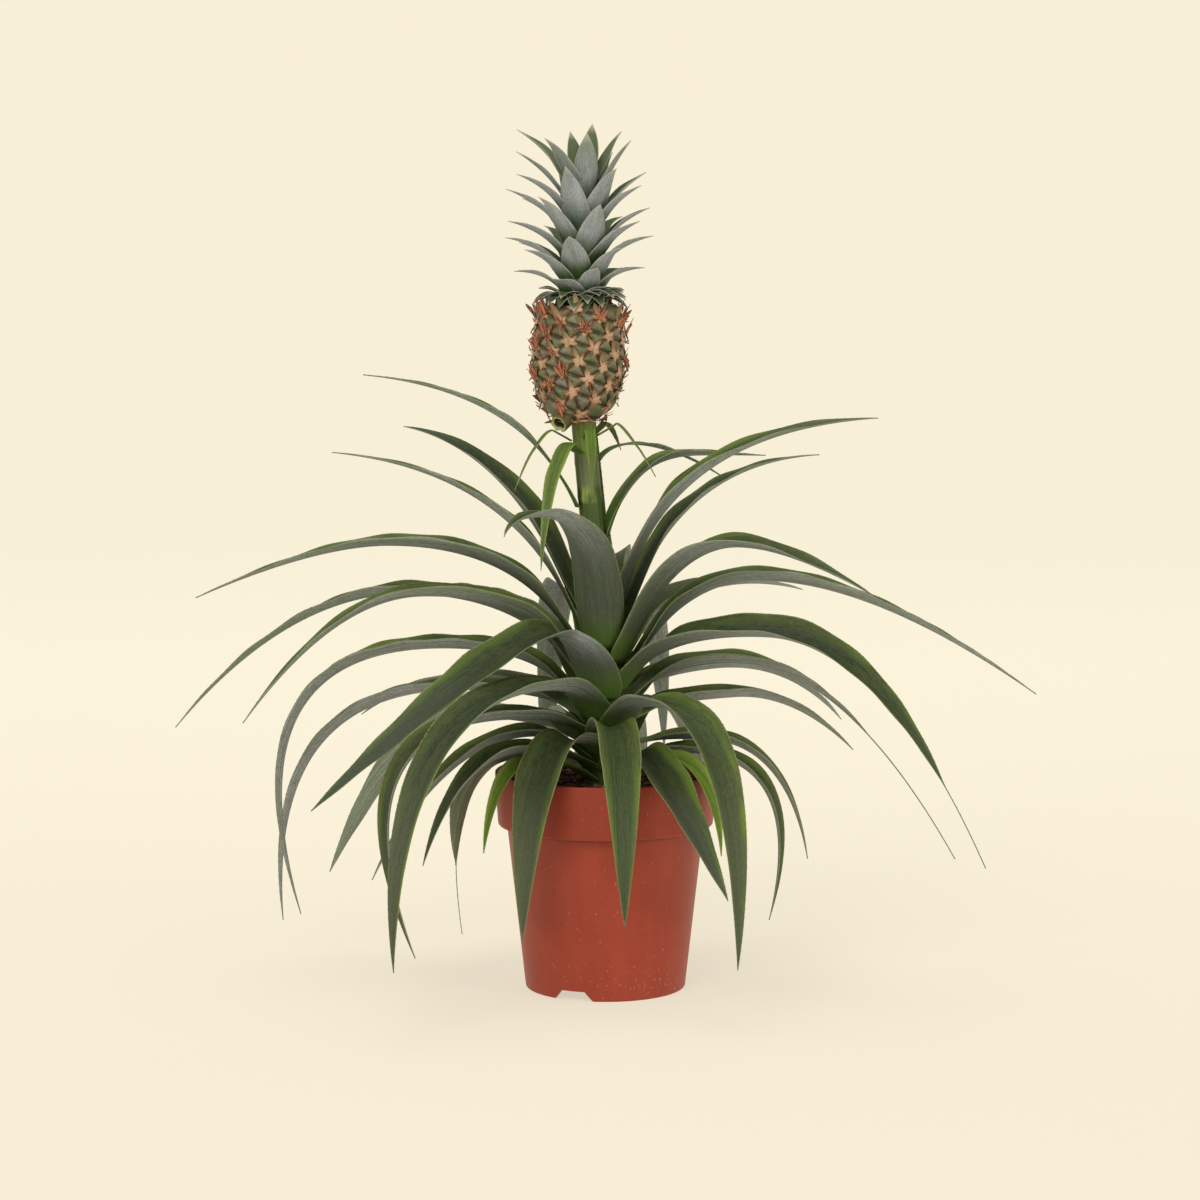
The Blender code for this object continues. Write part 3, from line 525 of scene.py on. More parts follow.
def stem_rings():
    """Rings up the stem, with a slight ridge at each node where a leaf has left it, and soft ribs."""
    bottom = SOIL_TOP - STEM_HOLE_DEPTH + GAP
    top = FRUIT_BOTTOM - GAP
    rings = [[axis_point(bottom)]]
    for i in range(STEM_RINGS + 1):
        height = bottom + (top - bottom) * i / STEM_RINGS
        node = max(math.exp(-(((height - ridge) / 0.0012) ** 2)) for ridge in STEM_NODES)
        ring = []
        for j in range(STEM_SIDES):
            bearing = 360 * j / STEM_SIDES
            ribs = 0.00012 * math.sin(math.radians(bearing) * 14 + height * 30)
            radius = stem_radius(height) - 0.0002 + ribs + 0.0003 * node
            ring.append(axis_point(height) + heading(bearing) * radius)
        rings.append(ring)
    rings.append([axis_point(top)])
    return rings


def stem_skin():
    """Green low down, a pale leaf scar, grey over it and yellow-green under the fruit, finely streaked."""
    paint = new_paint("stem skin", {"Specular IOR Level": 0.4})
    place = paint.place()
    height = place.axis("Z")
    streaks = place.stretched(1, 1, 0.04).noise(900, 4)
    blotches = place.stretched(1, 1, 0.4).noise(120, 3)
    grey = height.step(0.274, 0.279) * (0.5 + blotches * 0.7)
    scar = height.step(0.266, 0.269) * (1 - height.step(0.273, 0.279)) * blotches.step(0.40, 0.62)
    colour = coated(
        blotches.blend(rgb(35, 70, 12), rgb(85, 130, 30)),
        (grey.clip(), rgb(150, 175, 90)),
        (scar, rgb(300, 370, 95)),
        (height.step(0.290, 0.297), rgb(165, 225, 45)),
        (streaks.step(0.45, 0.7) * 0.5, rgb(70, 125, 24)),
    )
    return paint.finish(colour, 0.42 + streaks * 0.2, streaks.bump(0.0003))


add_piece("stem_skin", *closed(stem_rings()), stem_skin(), "stem", ["stem"])

# Leaves
# Stiff channelled blades that clasp the stem in a spiral, rise, arch over and hang to a long dry point.
# Each is dark green above, silvery with fine lengthwise lines below, lime at its foot and pale at its edge,
# partly as a painted highlight.
LEAF_THICK = 0.0012
LEAF_MARGIN = 0.00035
CLASP = math.radians(48)
CLASP_REACH = 0.017
FREE_REACH = 0.045
SWAY = 6
TOOTH_SPACING = 0.0044
TOOTH_START = 0.020  # from the foot of the blade
TOOTH_LENGTH = 0.0008
TOOTH_RADIUS = 0.00028
TOOTH_ROOT = 0.0002  # how deep a tooth stands in the margin
DRY_WIDTHS = (0.0003, 0.0009)  # a blade is dry where half its width is the first, and fresh from the second
WAVE_HEIGHTS = (0.0002, 0.0006)  # of the ripple along a blade's margins
WAVE_LENGTHS = (0.028, 0.045)
THREADS = {"leaf_04": 0.26, "leaf_24": 0.35, "leaf_28": 0.18}  # share of the length that is a dry thread

Leaf = namedtuple("Leaf", "bearing crest shoulder tip width sway roll")
Section = namedtuple("Section", "axis bearing spot slope half free fold roll")


def leaf_of(bearing, crest_reach, crest_height, shoulder, tip_reach, tip_height, width, sway=0, roll=0):
    """A leaf from a row in degrees and millimetres."""
    crest = (crest_reach / 1000, crest_height / 1000)
    tip = (tip_reach / 1000, tip_height / 1000)
    return Leaf(bearing, crest, shoulder / 1000, tip, width / 1000, sway, roll)


# In degrees and millimetres, from the lowest leaf to the highest: bearing of the tip, reach and height of
# the crest, reach of the shoulder where it turns down (0 for a leaf that only rises), reach and height of
# the tip, full width, and if not 0 its swing from foot to crest and its roll about its own midrib
LEAVES = [leaf_of(*row) for row in (
    (215, 50, 127, 71, 80, 82, 20), (80, 55, 135, 105, 118, 60, 23),
    (325, 42, 129, 70, 76, 80, 20), (179, 47, 126.5, 93, 79, 28, 25, 0, 70),
    (297, 40, 133.5, 64, 139, 71.5, 29), (207, 54, 133, 88, 110, 76, 24, -8),
    (106, 60, 142, 110, 125, 55, 24), (343, 48, 132, 114, 93, 42, 20, -10),
    (190, 40, 140, 89, 129, 63, 24), (62, 60, 147, 112, 122, 60, 24),
    (240, 40, 140, 79, 88, 41, 31), (356, 52, 138, 99, 111, 72, 20),
    (150, 79, 144, 128, 183, 46, 33, 0, 26), (276, 45, 149, 89, 96, 52, 26, 6),
    (95, 70, 157, 132, 146, 50, 25), (205, 61, 152, 160, 113, 25, 26, -7),
    (302, 59, 162, 133, 130, 32, 27, 8), (135, 90, 160, 150, 202, 130, 23),
    (25, 80, 156, 117, 155, 121, 24), (160, 73, 161, 205, 195, 23, 24),
    (234, 66, 171, 186, 184, 39, 30, -16), (46, 85, 168, 150, 200, 127, 24),
    (172, 86, 186, 213, 171, 35, 25), (10, 70, 178, 134, 199, 64, 24),
    (130, 140, 208, 165, 190, 203, 24), (220, 35, 197, 68, 197, 119, 31, -36, -18),
    (76, 80, 198, 130, 146, 110, 26), (340, 93, 198, 159, 215, 79, 32, 6, 30),
    (168, 108, 215, 178, 246, 136, 24), (5, 84, 224, 147, 240, 159, 26),
    (106, 75, 212, 110, 122, 80, 25, 1), (190, 100, 218, 147, 197, 151, 25, 7),
    (52, 120, 212, 150, 190, 203, 24, -3), (338, 79, 246, 108, 154, 223, 28, 10, 10),
    (180, 115, 244, 156, 222, 215, 25), (85, 60, 232, 110, 146, 165, 24),
    (243, 80, 266, 106, 112, 258, 29, -27, 8), (25, 36, 287, 0, 134, 289, 18),
    (183, 40, 284, 0, 146, 295, 17), (98, 48, 250, 85, 110, 225, 22),
    (355, 24, 305, 0, 150, 314, 26, 10, 14), (160, 48, 295, 0, 116, 306, 27, 0, -18),
)]

# Young leaves near the soil that have stayed bright green, and one that has dried, by place in the list
BRIGHT_LEAVES = (0, 2)
DRY_LEAVES = (3,)


def foot_height(order):
    """The feet stand close together at the soil and wider apart up the stem."""
    return SOIL_TOP + 0.0040 + 0.0013 * order + 0.000018 * order * order


def rise_angle(order):
    return math.radians(46 + 0.6 * order)


def bezier(a, b, c, t):
    return a * (1 - t) ** 2 + b * 2 * t * (1 - t) + c * t**2


def width_share(run):
    """Width of a blade, as a share of its full width, at a share of its length: down to a fine point."""
    taper = max(0.0, 1 - run)
    return max(0.015, (0.85 + 0.15 * smoothstep(0, 0.3, run)) * min(1.0, 1.6 * taper**0.85))


def foot_reach(leaf, foot):
    """Reach of a midrib's start, where the inner face of the bowed foot just clears the stem."""
    clear = stem_radius(foot) + GAP + LEAF_THICK / 2
    reach = clear
    for _ in range(3):
        bow = min(CLASP, leaf.width / 2 * width_share(0) / reach)
        reach = clear / math.cos(bow / 2)
    return reach


def midrib(leaf, foot, rise, t):
    """(reach, height) of the midrib: t is 0 at the foot, 1 at the crest and 2 at the tip.

    A leaf whose tip is above its crest never arches over, and runs in one curve that bends toward the crest.
    """
    start = Vector((foot_reach(leaf, foot), foot))
    crest = Vector(leaf.crest)
    if leaf.tip[1] > crest.y:
        return bezier(start, crest, Vector(leaf.tip), t / 2)
    if t <= 1:
        turn = Vector((start.x + (crest.y - foot) / math.tan(rise), crest.y))
        return bezier(start, turn, crest, t)
    return bezier(crest, Vector((leaf.shoulder, crest.y)), Vector(leaf.tip), t - 1)


def length_shares(leaf, foot, rise, steps):
    """Share of the midrib's length that lies behind each step."""
    spots = [midrib(leaf, foot, rise, t) for t in steps]
    runs = [0.0]
    for a, b in zip(spots, spots[1:]):
        runs.append(runs[-1] + (b - a).length)
    return [run / runs[-1] for run in runs]


def leaf_section(leaf, foot, rise, sway, t, run):
    spot = midrib(leaf, foot, rise, t)
    ahead = midrib(leaf, foot, rise, min(2.0, t + 0.02))
    behind = midrib(leaf, foot, rise, max(0.0, t - 0.02))
    bearing = leaf.bearing - sway * (1 - smoothstep(0, 1.2, t))
    half = leaf.width / 2 * width_share(run)
    free = smoothstep(CLASP_REACH, FREE_REACH, spot.x)
    slope = (ahead - behind).normalized()
    return Section(axis_point(foot), bearing, spot, slope, half, free, 0.62 - 0.12 * t, leaf.roll * t / 2)


def section_row(section, shares):
    """Points across the middle of a blade's thickness, at shares from -1 at one margin to 1 at the other.

    Near the stem the section is a bow round the axis, and further out a channel with rounded sides.
    """
    out = heading(section.bearing)
    side = heading(section.bearing - 90)
    along = out * section.slope.x + Vector((0, 0, section.slope.y))
    normal = side.cross(along)
    free = section.free
    reach = section.spot.x
    bow = min(CLASP, section.half / reach)
    lift = (normal * free - out * (1 - free)).normalized()
    turn = Matrix.Rotation(math.radians(section.roll) * free, 3, along)
    middle = section.axis + out * reach + Vector((0, 0, section.spot.y - section.axis.z))
    row = []
    for share in shares:
        channel = section.half * section.fold * abs(share) ** 1.35
        rise = (1 - free) * reach * (1 - math.cos(bow * share)) + free * channel
        spread = (1 - free) * reach * math.sin(bow * share)
        spread += free * section.half * (1 - section.fold / 3) * share
        row.append(middle + turn @ (side * spread + lift * rise))
    return row


def thick_sheet(grid, thickness):
    """Points and faces of a closed sheet round a grid of points: its upper face first, then its lower one.

    thickness gives the full thickness at (row, column).
    """
    rows = len(grid)
    columns = len(grid[0])
    upper = []
    lower = []
    for i in range(rows):
        for j in range(columns):
            across = grid[i][min(j + 1, columns - 1)] - grid[i][max(j - 1, 0)]
            along = grid[min(i + 1, rows - 1)][j] - grid[max(i - 1, 0)][j]
            half = across.cross(along).normalized() * thickness(i, j) / 2
            upper.append(grid[i][j] + half)
            lower.append(grid[i][j] - half)
    under = rows * columns
    faces = []
    for i in range(rows - 1):
        for j in range(columns - 1):
            a = i * columns + j
            b = a + columns
            faces.append((a, a + 1, b + 1, b))
            faces.append((under + a, under + b, under + b + 1, under + a + 1))
        first = i * columns
        last = first + columns - 1
        faces.append((first, first + columns, under + first + columns, under + first))
        faces.append((last + columns, last, under + last, under + last + columns))
    end = under - columns
    for j in range(columns - 1):
        faces.append((j + 1, j, under + j, under + j + 1))
        faces.append((end + j, end + j + 1, under + end + j + 1, under + end + j))
    return upper + lower, faces


def tooth(root, direction):
    """A three-sided spine on root."""
    spoke = direction.orthogonal().normalized() * TOOTH_RADIUS
    base = [root + Matrix.Rotation(math.radians(120 * i), 3, direction) @ spoke for i in range(3)]
    return closed([base, [root + direction * TOOTH_LENGTH]])


def add_teeth(heap, grid, sections, steps, runs, tone):
    """Teeth along both margins of a blade, pointing outward and on to its tip."""
    next_tooth = TOOTH_START
    for i in range(1, len(grid) - 2):
        while runs[i] <= next_tooth < runs[i + 1]:
            part = (next_tooth - runs[i]) / (runs[i + 1] - runs[i])
            for j, inner in ((0, 1), (-1, -2)):
                edge = grid[i][j].lerp(grid[i + 1][j], part)
                out = (grid[i][j] - grid[i][inner]).normalized()
                on = (grid[i + 1][j] - grid[i][j]).normalized()
                marks = {"place": (1.0, steps[i], 0.5), "tone": tone}
                marks["length"] = (sections[i].half * 1000, next_tooth * 1000, tone[2] * 50)
                heap.add(*tooth(edge - out * TOOTH_ROOT, (out + on * 0.9).normalized()), marks)
            next_tooth += TOOTH_SPACING


def add_blade(heap, sections, shares, steps, mid_thick, wave, tone, toothed=True):
    """Adds one blade to a heap.

    wave is the height, length and phase of the ripple along its margins; tone is three numbers that its
    material reads; steps says how far along, from 0 to 2, each section stands.
    """
    grid = [section_row(section, shares) for section in sections]
    middle = len(shares) // 2
    runs = [0.0]
    for a, b in zip(grid, grid[1:]):
        runs.append(runs[-1] + (b[middle] - a[middle]).length)
    ripple, ripple_length, phase = wave
    for i, section in enumerate(sections):
        for j, share in enumerate(shares):
            swing = math.sin(phase + (3.0 if share > 0 else 0.0) + 2 * math.pi * runs[i] / ripple_length)
            push = ripple * swing * abs(share) ** 3 * section.free * min(1.0, section.half / 0.006)
            grid[i][j] = grid[i][j] + Vector((0, 0, push))

    def thickness(i, j):
        at_foot = LEAF_MARGIN + (mid_thick - LEAF_MARGIN) * (1 - shares[j] * shares[j])
        return at_foot * (1 - 0.25 * steps[i])

    marks = {"place": [], "length": [], "tone": []}
    for face in (1.0, 0.0):
        for i, section in enumerate(sections):
            dry = max(tone[1], 1 - smoothstep(*DRY_WIDTHS, section.half))
            for share in shares:
                marks["place"].append((share, steps[i], face))
                marks["length"].append((share * section.half * 1000, runs[i] * 1000, tone[2] * 50))
                marks["tone"].append((tone[0], dry, tone[2]))
    heap.add(*thick_sheet(grid, thickness), marks)
    if toothed:
        add_teeth(heap, grid, sections, steps, runs, tone)


def leaf_skin():
    """Leaf tissue. The mark tone holds how bright, how dry and which leaf; length is in millimetres."""
    paint = new_paint("leaf skin", {"Specular IOR Level": 0.20})
    place = paint.mark("place")
    across = place.axis("X")
    side = abs(across)
    along = place.axis("Y")
    upper = place.axis("Z")
    length = paint.mark("length")
    tone = paint.mark("tone")
    dry = tone.axis("Y")
    ribs = length.stretched(1.15, 0.012, 1).noise(1.0, 4)
    threads = length.stretched(2.8, 0.03, 1).noise(1.0, 2)
    bands = length.stretched(0.35, 0.008, 1).noise(1.0, 3)
    clouds = length.stretched(0.11, 0.030, 1).noise(1.0, 3)
    mottle = length.stretched(1.3, 0.55, 1).noise(1.0, 3)
    own = length.stretched(0, 0, 0.37).noise(1.0, 1)
    shade = length.stretched(0, 0, 0.61).noise(1.0, 1)
    blots = length.stretched(0.55, 0.16, 1).noise(1.0, 4)
    speckled = length.stretched(0.4, 0.06, 1).noise(1.0, 2).step(0.52, 0.66)
    # Upper face: near-black green with paler lines, olive patches, a grey sheen round the crest, and a lime
    # rim that is broader on one side
    sheen = (1 - abs(along - 0.95) * 1.8) * clouds.step(0.40, 0.64) * 0.5
    olive = (1 - clouds).step(0.46, 0.66) * along.step(0.5, 1.0) * (1 - along.step(1.45, 1.8)) * 0.55
    tip = own.step(0.40, 0.60).blend(rgb(26, 48, 31), rgb(115, 128, 88))
    uneven = abs(own.step(0.44, 0.56) - (across * 0.5 + 0.5))
    rim = side.step(0.40, 0.96) * (0.15 + clouds.step(0.36, 0.60) * 0.85) * (0.20 + uneven * 0.80)
    top = coated(
        (bands * 0.4 + ribs * 0.6).step(0.40, 0.58).blend(rgb(12, 23, 8), rgb(34, 50, 18)),
        (threads.step(0.50, 0.62) * 0.50, rgb(62, 88, 34)),
        (sheen.clip(), rgb(74, 80, 66)),
        (olive, rgb(90, 98, 28)),
        (mottle.step(0.48, 0.62) * 0.50, rgb(78, 96, 50)),
        (blots.step(0.50, 0.62) * 0.60, rgb(14, 27, 11)),
        (shade.step(0.42, 0.58) * 0.45, rgb(12, 24, 11)),
        (along.step(1.35, 1.8) * (0.35 + mottle * 0.6), tip),
        ((rim * (0.7 + ribs * 0.5)).clip(), rgb(130, 205, 26)),
    )
    # Under face: darkened near the stem by painted shade inside the rosette, then a cool pale grey with fine
    # green lines
    under = coated(
        ribs.step(0.33, 0.68).blend(rgb(250, 285, 290), rgb(430, 475, 490)),
        (mottle.step(0.44, 0.58) * 0.50, rgb(190, 205, 190)),
        (blots.step(0.48, 0.64) * 0.40, rgb(175, 160, 155)),
        (threads.step(0.48, 0.64) * 0.40, rgb(125, 150, 110)),
        (bands.step(0.48, 0.70) * side.step(0.2, 0.9) * 0.50, rgb(130, 190, 75)),
        (own.step(0.46, 0.58) * along.step(1.1, 1.7) * 0.45, rgb(190, 260, 130)),
        # Painted shade: the under face darkens toward the stem, where the leaves above shade it.
        ((1 - along.step(0.25, 0.98)) * 0.85, rgb(40, 54, 29)),
    )
    young = coated(
        (ribs * 0.6 + mottle * 0.4).step(0.38, 0.62).blend(rgb(95, 180, 16), rgb(190, 310, 36)),
        (side.step(0.50, 0.96), rgb(330, 430, 80)),
    )
    straw = coated(
        (ribs * 0.6 + threads * 0.4).step(0.35, 0.62).blend(rgb(120, 155, 78), rgb(240, 285, 170)),
        (threads.step(0.58, 0.66) * 0.5, rgb(80, 48, 28)),
    )
    foot = 1 - length.axis("Y").step(5.0, 30.0)
    # A pale line along the edges: partly the leaf's real pale margin, partly a painted highlight along the
    # edge.
    pale_margin_and_highlight = side.step(0.940, 0.980) * (0.15 + mottle.step(0.35, 0.60) * 0.60)
    colour = coated(
        upper.blend(under, top),
        (tone.axis("X"), young),
        (foot * (0.45 + ribs * 0.5), rgb(105, 205, 20)),
        (length.noise(1.5, 1).step(0.70, 0.74) * speckled * 0.55, rgb(360, 360, 300)),
        (dry, straw),
        (pale_margin_and_highlight * (1 - dry), rgb(270, 310, 130)),
    )
    relief = ribs + threads * 0.7 + mottle * 0.5 + blots * 0.5
    return paint.finish(colour, 0.56 - upper * 0.12 + ribs * 0.10 + mottle * 0.08, relief.bump(0.00055, 1.0))


def dress_leaf(node, leaf, foot, rise, sway, slot, tone, draw, columns=12, rising=30, falling=46):
    """One blade of the plant: foot in metres, rise in radians, and the counts of its grid."""
    steps = [i / rising for i in range(rising)] + [1 + i / falling for i in range(falling + 1)]
    shares = [-1 + 2 * j / columns for j in range(columns + 1)]
    runs = [run / (1 - THREADS.get(node, 0)) for run in length_shares(leaf, foot, rise, steps)]
    sections = [leaf_section(leaf, foot, rise, sway, t, run) for t, run in zip(steps, runs)]
    wave = (draw.uniform(*WAVE_HEIGHTS), draw.uniform(*WAVE_LENGTHS), draw.uniform(0, 6.3))
    heap = Heap("place", "length", "tone")
    add_blade(heap, sections, shares, steps, LEAF_THICK, wave, tone)
    heap.dress(f"{node}_blade", leaf_finish, slot, [node])


leaf_finish = leaf_skin()
sway_draw = random.Random(7)
leaf_draw = random.Random(19)
for order, leaf in enumerate(LEAVES):
    sway = leaf.sway + sway_draw.uniform(-SWAY, SWAY)
    bright = 0.9 if order in BRIGHT_LEAVES else leaf_draw.uniform(0, 0.12)
    dry = 0.75 if order in DRY_LEAVES else 0.0
    dress_leaf(f"leaf_{order + 1:02d}", leaf, foot_height(order), rise_angle(order), sway, "leaf",
               (bright, dry, order + 1), leaf_draw)

# Stalk leaves
# Thin leaves that stand on the fruit stalk above the rosette, narrower and softer than the rest. Each is
# stated by the height of its foot, its rise in degrees, and its shape as the leaves above.
STALK_LEAVES = (
    (215, 82, (97, 18, 270, 0, 27, 322, 12)),
    (249, 76, (15, 58, 292, 74, 98, 291, 18)),
    (265, 60, (184, 35, 328, 0, 123, 337, 13)),
    (290, 55, (30, 26, 298, 52, 90, 276, 8)),
)
for number, (foot, rise, row) in enumerate(STALK_LEAVES):
    leaf = leaf_of(*row)
    dress_leaf(f"stalk_leaf_{number + 1}", leaf, foot / 1000, math.radians(rise), leaf.sway, "leaf",
               (0.1, 0.0, 50 + number), leaf_draw)

# Bracts under the fruit
# Narrow bright blades that hang from the stalk just under the fruit, soft and without dark tissue. They are
# stated as the stalk leaves are.
BRACTS = (
    (301, 30, (203, 19, 307, 27, 41, 275, 5, 12)),
    (295, 25, (238, 15.5, 300.5, 34, 45, 234, 10)),
    (303, 30, (282, 13, 308, 19, 20, 276, 6)),
    (304, 30, (345, 18, 310.5, 23, 40, 282, 6)),
    (304, 30, (48, 16, 310, 22, 30, 294, 6)),
)
for number, (foot, rise, row) in enumerate(BRACTS):
    leaf = leaf_of(*row)
    dress_leaf(f"bract_{number + 1}", leaf, foot / 1000, math.radians(rise), leaf.sway, "bract",
               (0.45, 0.0, 60 + number), leaf_draw, 8, 16, 26)

# Fruit
# A barrel of fused fruitlets in a spiral. Smooth grey-green domes stand between them, each fruitlet has a
# dry tan bract like a ragged star with its arms in the seams, and many keep strips of withered flower.
FRUIT_TOP = 0.3745
FRUIT_RADIUS = 0.0250
FRUIT_LEAN = 0.0025
FRUIT_EYES = 72
FRUIT_COLUMNS = 280
FRUIT_ROWS = 140
SEAM_RISE = -0.0019
DOME_RISE = 0.0024
DOME_RADIUS = 0.0036
SPIRALS = (5, 8, 13)  # an eye's neighbours along the seams are this many eyes before and after it
SEAM_LENGTH = 0.017  # the longest that a seam between two eyes can be
BARE_SHARE = 0.94
FLOWER_SHARE = 0.44
GOLDEN_ANGLE = 137.508
STAR_SIDES = 50
STAR_LEVELS = 7
STAR_WAIST = 0.0025
STAR_ARM = 0.0056
STAR_UPPER_ARM = 0.0082
STAR_TOP_ARM = 0.0030  # that the topmost bracts' upper arms are longer by
STAR_TURN = -22  # degrees from straight up to its upper arm
STAR_ARM_SPREAD = 36  # degrees from an arm's middle to its side
STAR_THICK = 0.00018
STAR_LIFT = 0.0004
STAR_BEND_FROM = 0.0033  # from here up, the upper arm bends away from the fruit
PETAL_STEPS = 10
PETAL_THICK = 0.00016
HAIRS = 3  # short dry threads in the middle of each eye
HAIR_LENGTHS = (0.0024, 0.0042)
HAIR_WIDTH = 0.0006
STRIPS = (3, 3, 4, 5)  # in one flower, each as likely
STRIP_SPACING = 0.0011
STRIP_LENGTHS = (0.0065, 0.0098)
STRIP_WIDTHS = (0.0013, 0.0021)
COLLAR_STRIPS = 13  # dry bracts that lie round the fruit's foot
COLLAR_REACHES = (0.0105, 0.0145)
COLLAR_LENGTHS = (0.008, 0.014)
COLLAR_WIDTH = 0.0017


def fruit_radius(share):
    """Radius at a share of the fruit's height: a barrel that is widest above its middle."""
    return FRUIT_RADIUS * math.sqrt(1 - abs((share - 0.6) / 0.67) ** 2.6)


def fruit_middle(share):
    """The fruit's axis, which stands straighter than the stem."""
    height = FRUIT_BOTTOM + share * (FRUIT_TOP - FRUIT_BOTTOM)
    return axis_point(height) + Vector((FRUIT_LEAN * (2 * share - 1), 0, 0))


def fruit_skin(bearing, share):
    """A point of the fruit without its eyes."""
    return fruit_middle(share) + heading(bearing) * fruit_radius(share)


def eye_places():
    """(bearing, share of height) of each eye, on a spiral that gives every eye the same area."""
    slices = 200
    areas = [fruit_radius((i + 0.5) / slices) for i in range(slices)]
    places = []
    for i in range(FRUIT_EYES):
        wanted = (i + 0.5) / FRUIT_EYES * sum(areas)
        level = 0
        while wanted > areas[level]:
            wanted -= areas[level]
            level += 1
        places.append((GOLDEN_ANGLE * i, (level + wanted / areas[level]) / slices))
    return places


def eye_frame(bearing, share):
    """(place, right, up, out) of an eye on the fruit's skin."""
    place = fruit_skin(bearing, share)
    right = heading(bearing + 90)
    above = fruit_skin(bearing, min(1.0, share + 0.03))
    up = (above - fruit_skin(bearing, max(0.0, share - 0.03))).normalized()
    return place, right, up, right.cross(up).normalized()


def seam_distance(skin, out, eye_points, nearest):
    """Distance from a point of the skin to the closest seam that starts from one of its nearest eyes."""
    gap = DOME_RADIUS
    for index in nearest:
        start = eye_points[index] - skin
        start -= out * start.dot(out)
        for other in [index + step for step in SPIRALS] + [index - step for step in SPIRALS]:
            if 0 <= other < len(eye_points):
                run = eye_points[other] - eye_points[index]
                run -= out * run.dot(out)
                share = min(1.0, max(0.0, -start.dot(run) / run.length_squared))
                if run.length < SEAM_LENGTH:
                    gap = min(gap, (start + run * share).length)
    return gap


def fruit_body(eyes):
    """Rings of the fruit's skin, and at each point how near an eye is, its height on a dome and a tint."""
    eye_points = [place for place, _, _, _ in eyes]
    eye_tree = kdtree.KDTree(len(eye_points))
    for i, point in enumerate(eye_points):
        eye_tree.insert(point, i)
    eye_tree.balance()
    rings = [[fruit_middle(0)]]
    marks = [(0.0, 0.0, 0.0)]
    for i in range(FRUIT_ROWS + 1):
        share = i / FRUIT_ROWS
        middle = fruit_middle(share)
        ends = smoothstep(0, 0.08, share) * smoothstep(1, 0.95, share)
        ring = []
        for j in range(FRUIT_COLUMNS):
            skin = fruit_skin(360 * j / FRUIT_COLUMNS, share)
            out = (skin - middle).normalized()
            near = eye_tree.find_n(skin, 3)
            gap = seam_distance(skin, out, eye_points, [index for _, index, _ in near[:2]])
            dome = 1 - (1 - min(1.0, gap / DOME_RADIUS)) ** 2.2
            rough = 0.00025 * noise.noise(skin * 420) + 0.00012 * noise.noise(skin * 1100)
            ring.append(skin + out * (SEAM_RISE + DOME_RISE * dome * ends + rough))
            tint = noise.cell(Vector((sum(index for _, index, _ in near) * 3.7, 0, 0)))
            marks.append((1 - smoothstep(0.002, 0.0065, near[0][2]), dome * ends, tint))
        rings.append(ring)
    rings.append([fruit_middle(1)])
    marks.append((0.0, 0.0, 0.0))
    return rings, marks


def add_star(heap, eye, draw, top):
    """One dry bract: a ragged star with its arms in the seams, the upper one longer near the fruit's top.

    Its marks are how far out a point is on its ray, the star's tint, and how far out it is in all.
    """
    place, right, up, out = eye
    arms = [(STAR_TURN, STAR_UPPER_ARM + STAR_TOP_ARM * top)]
    arms += [(STAR_TURN + 72 * i, STAR_ARM) for i in range(1, 5)]
    arms = [(angle + draw.uniform(-14, 14), length * draw.uniform(0.65, 1.15)) for angle, length in arms]
    tint = draw.random()
    face = [i / STAR_LEVELS for i in range(STAR_LEVELS + 1)]
    rings = []
    marks = []
    for side, share in [(1, share) for share in face] + [(-1, share) for share in face[::-1]]:
        ring = []
        for i in range(STAR_SIDES if share else 1):
            angle = 360 * i / STAR_SIDES
            reach = STAR_WAIST
            for arm, length in arms:
                beside = abs((angle - arm + 180) % 360 - 180)
                taper = max(0.0, 1 - beside / STAR_ARM_SPREAD) ** 1.25
                reach = max(reach, STAR_WAIST + (length - STAR_WAIST) * taper)
            spread = reach * share * (1 + 0.22 * noise.noise(place * 900 + Vector((i * 0.7, share, 0))))
            x = math.sin(math.radians(angle)) * spread
            y = math.cos(math.radians(angle)) * spread
            spot = place + right * x + up * y
            rise = STAR_LIFT - 0.10 * spread - 20 * x * x
            rise += (0.48 + 0.20 * top) * max(0.0, y - STAR_BEND_FROM)
            rise += side * STAR_THICK * (1.1 - share) + 0.0003 * noise.noise(spot * 500)
            ring.append(spot + out * rise)
            marks.append((share, tint, spread / 0.006))
        rings.append(ring)
    heap.add(*closed(rings), {"eye": marks})


def add_petal(heap, root, direction, curl, length, width, tint):
    """A withered petal: a thin twisted strip that curls at its end."""
    rings = []
    marks = []
    for i in range(PETAL_STEPS + 1):
        share = i / PETAL_STEPS
        middle = root + direction * length * share + curl * length * share * share * 0.5
        along = (direction + curl * share).normalized()
        across = Matrix.Rotation(1.6 * share + 6 * tint, 3, along) @ along.orthogonal().normalized()
        through = along.cross(across)
        half = width / 2 * (0.5 + 1.1 * share) * (1 - share**3) + 0.00015
        arch = 0.2 * half
        corners = ((0, arch - PETAL_THICK), (half, 0), (0, arch + PETAL_THICK), (-half, 0))
        rings.append([middle + across * x + through * y for x, y in corners])
        marks += [(share, tint, 0)] * 4
    heap.add(*closed(rings), {"eye": marks})


def add_hairs(heap, eye, draw):
    """The short dry threads that spread from the middle of an eye."""
    place, right, up, out = eye
    for _ in range(HAIRS):
        turn = math.radians(draw.uniform(0, 360))
        side = right * math.cos(turn) + up * math.sin(turn)
        add_petal(heap, place + out * 0.0002 + side * 0.0015, (out * 0.5 + side).normalized(),
                  side * draw.uniform(0.8, 1.6) - up * 0.4, draw.uniform(*HAIR_LENGTHS), HAIR_WIDTH,
                  draw.uniform(0, 0.3))


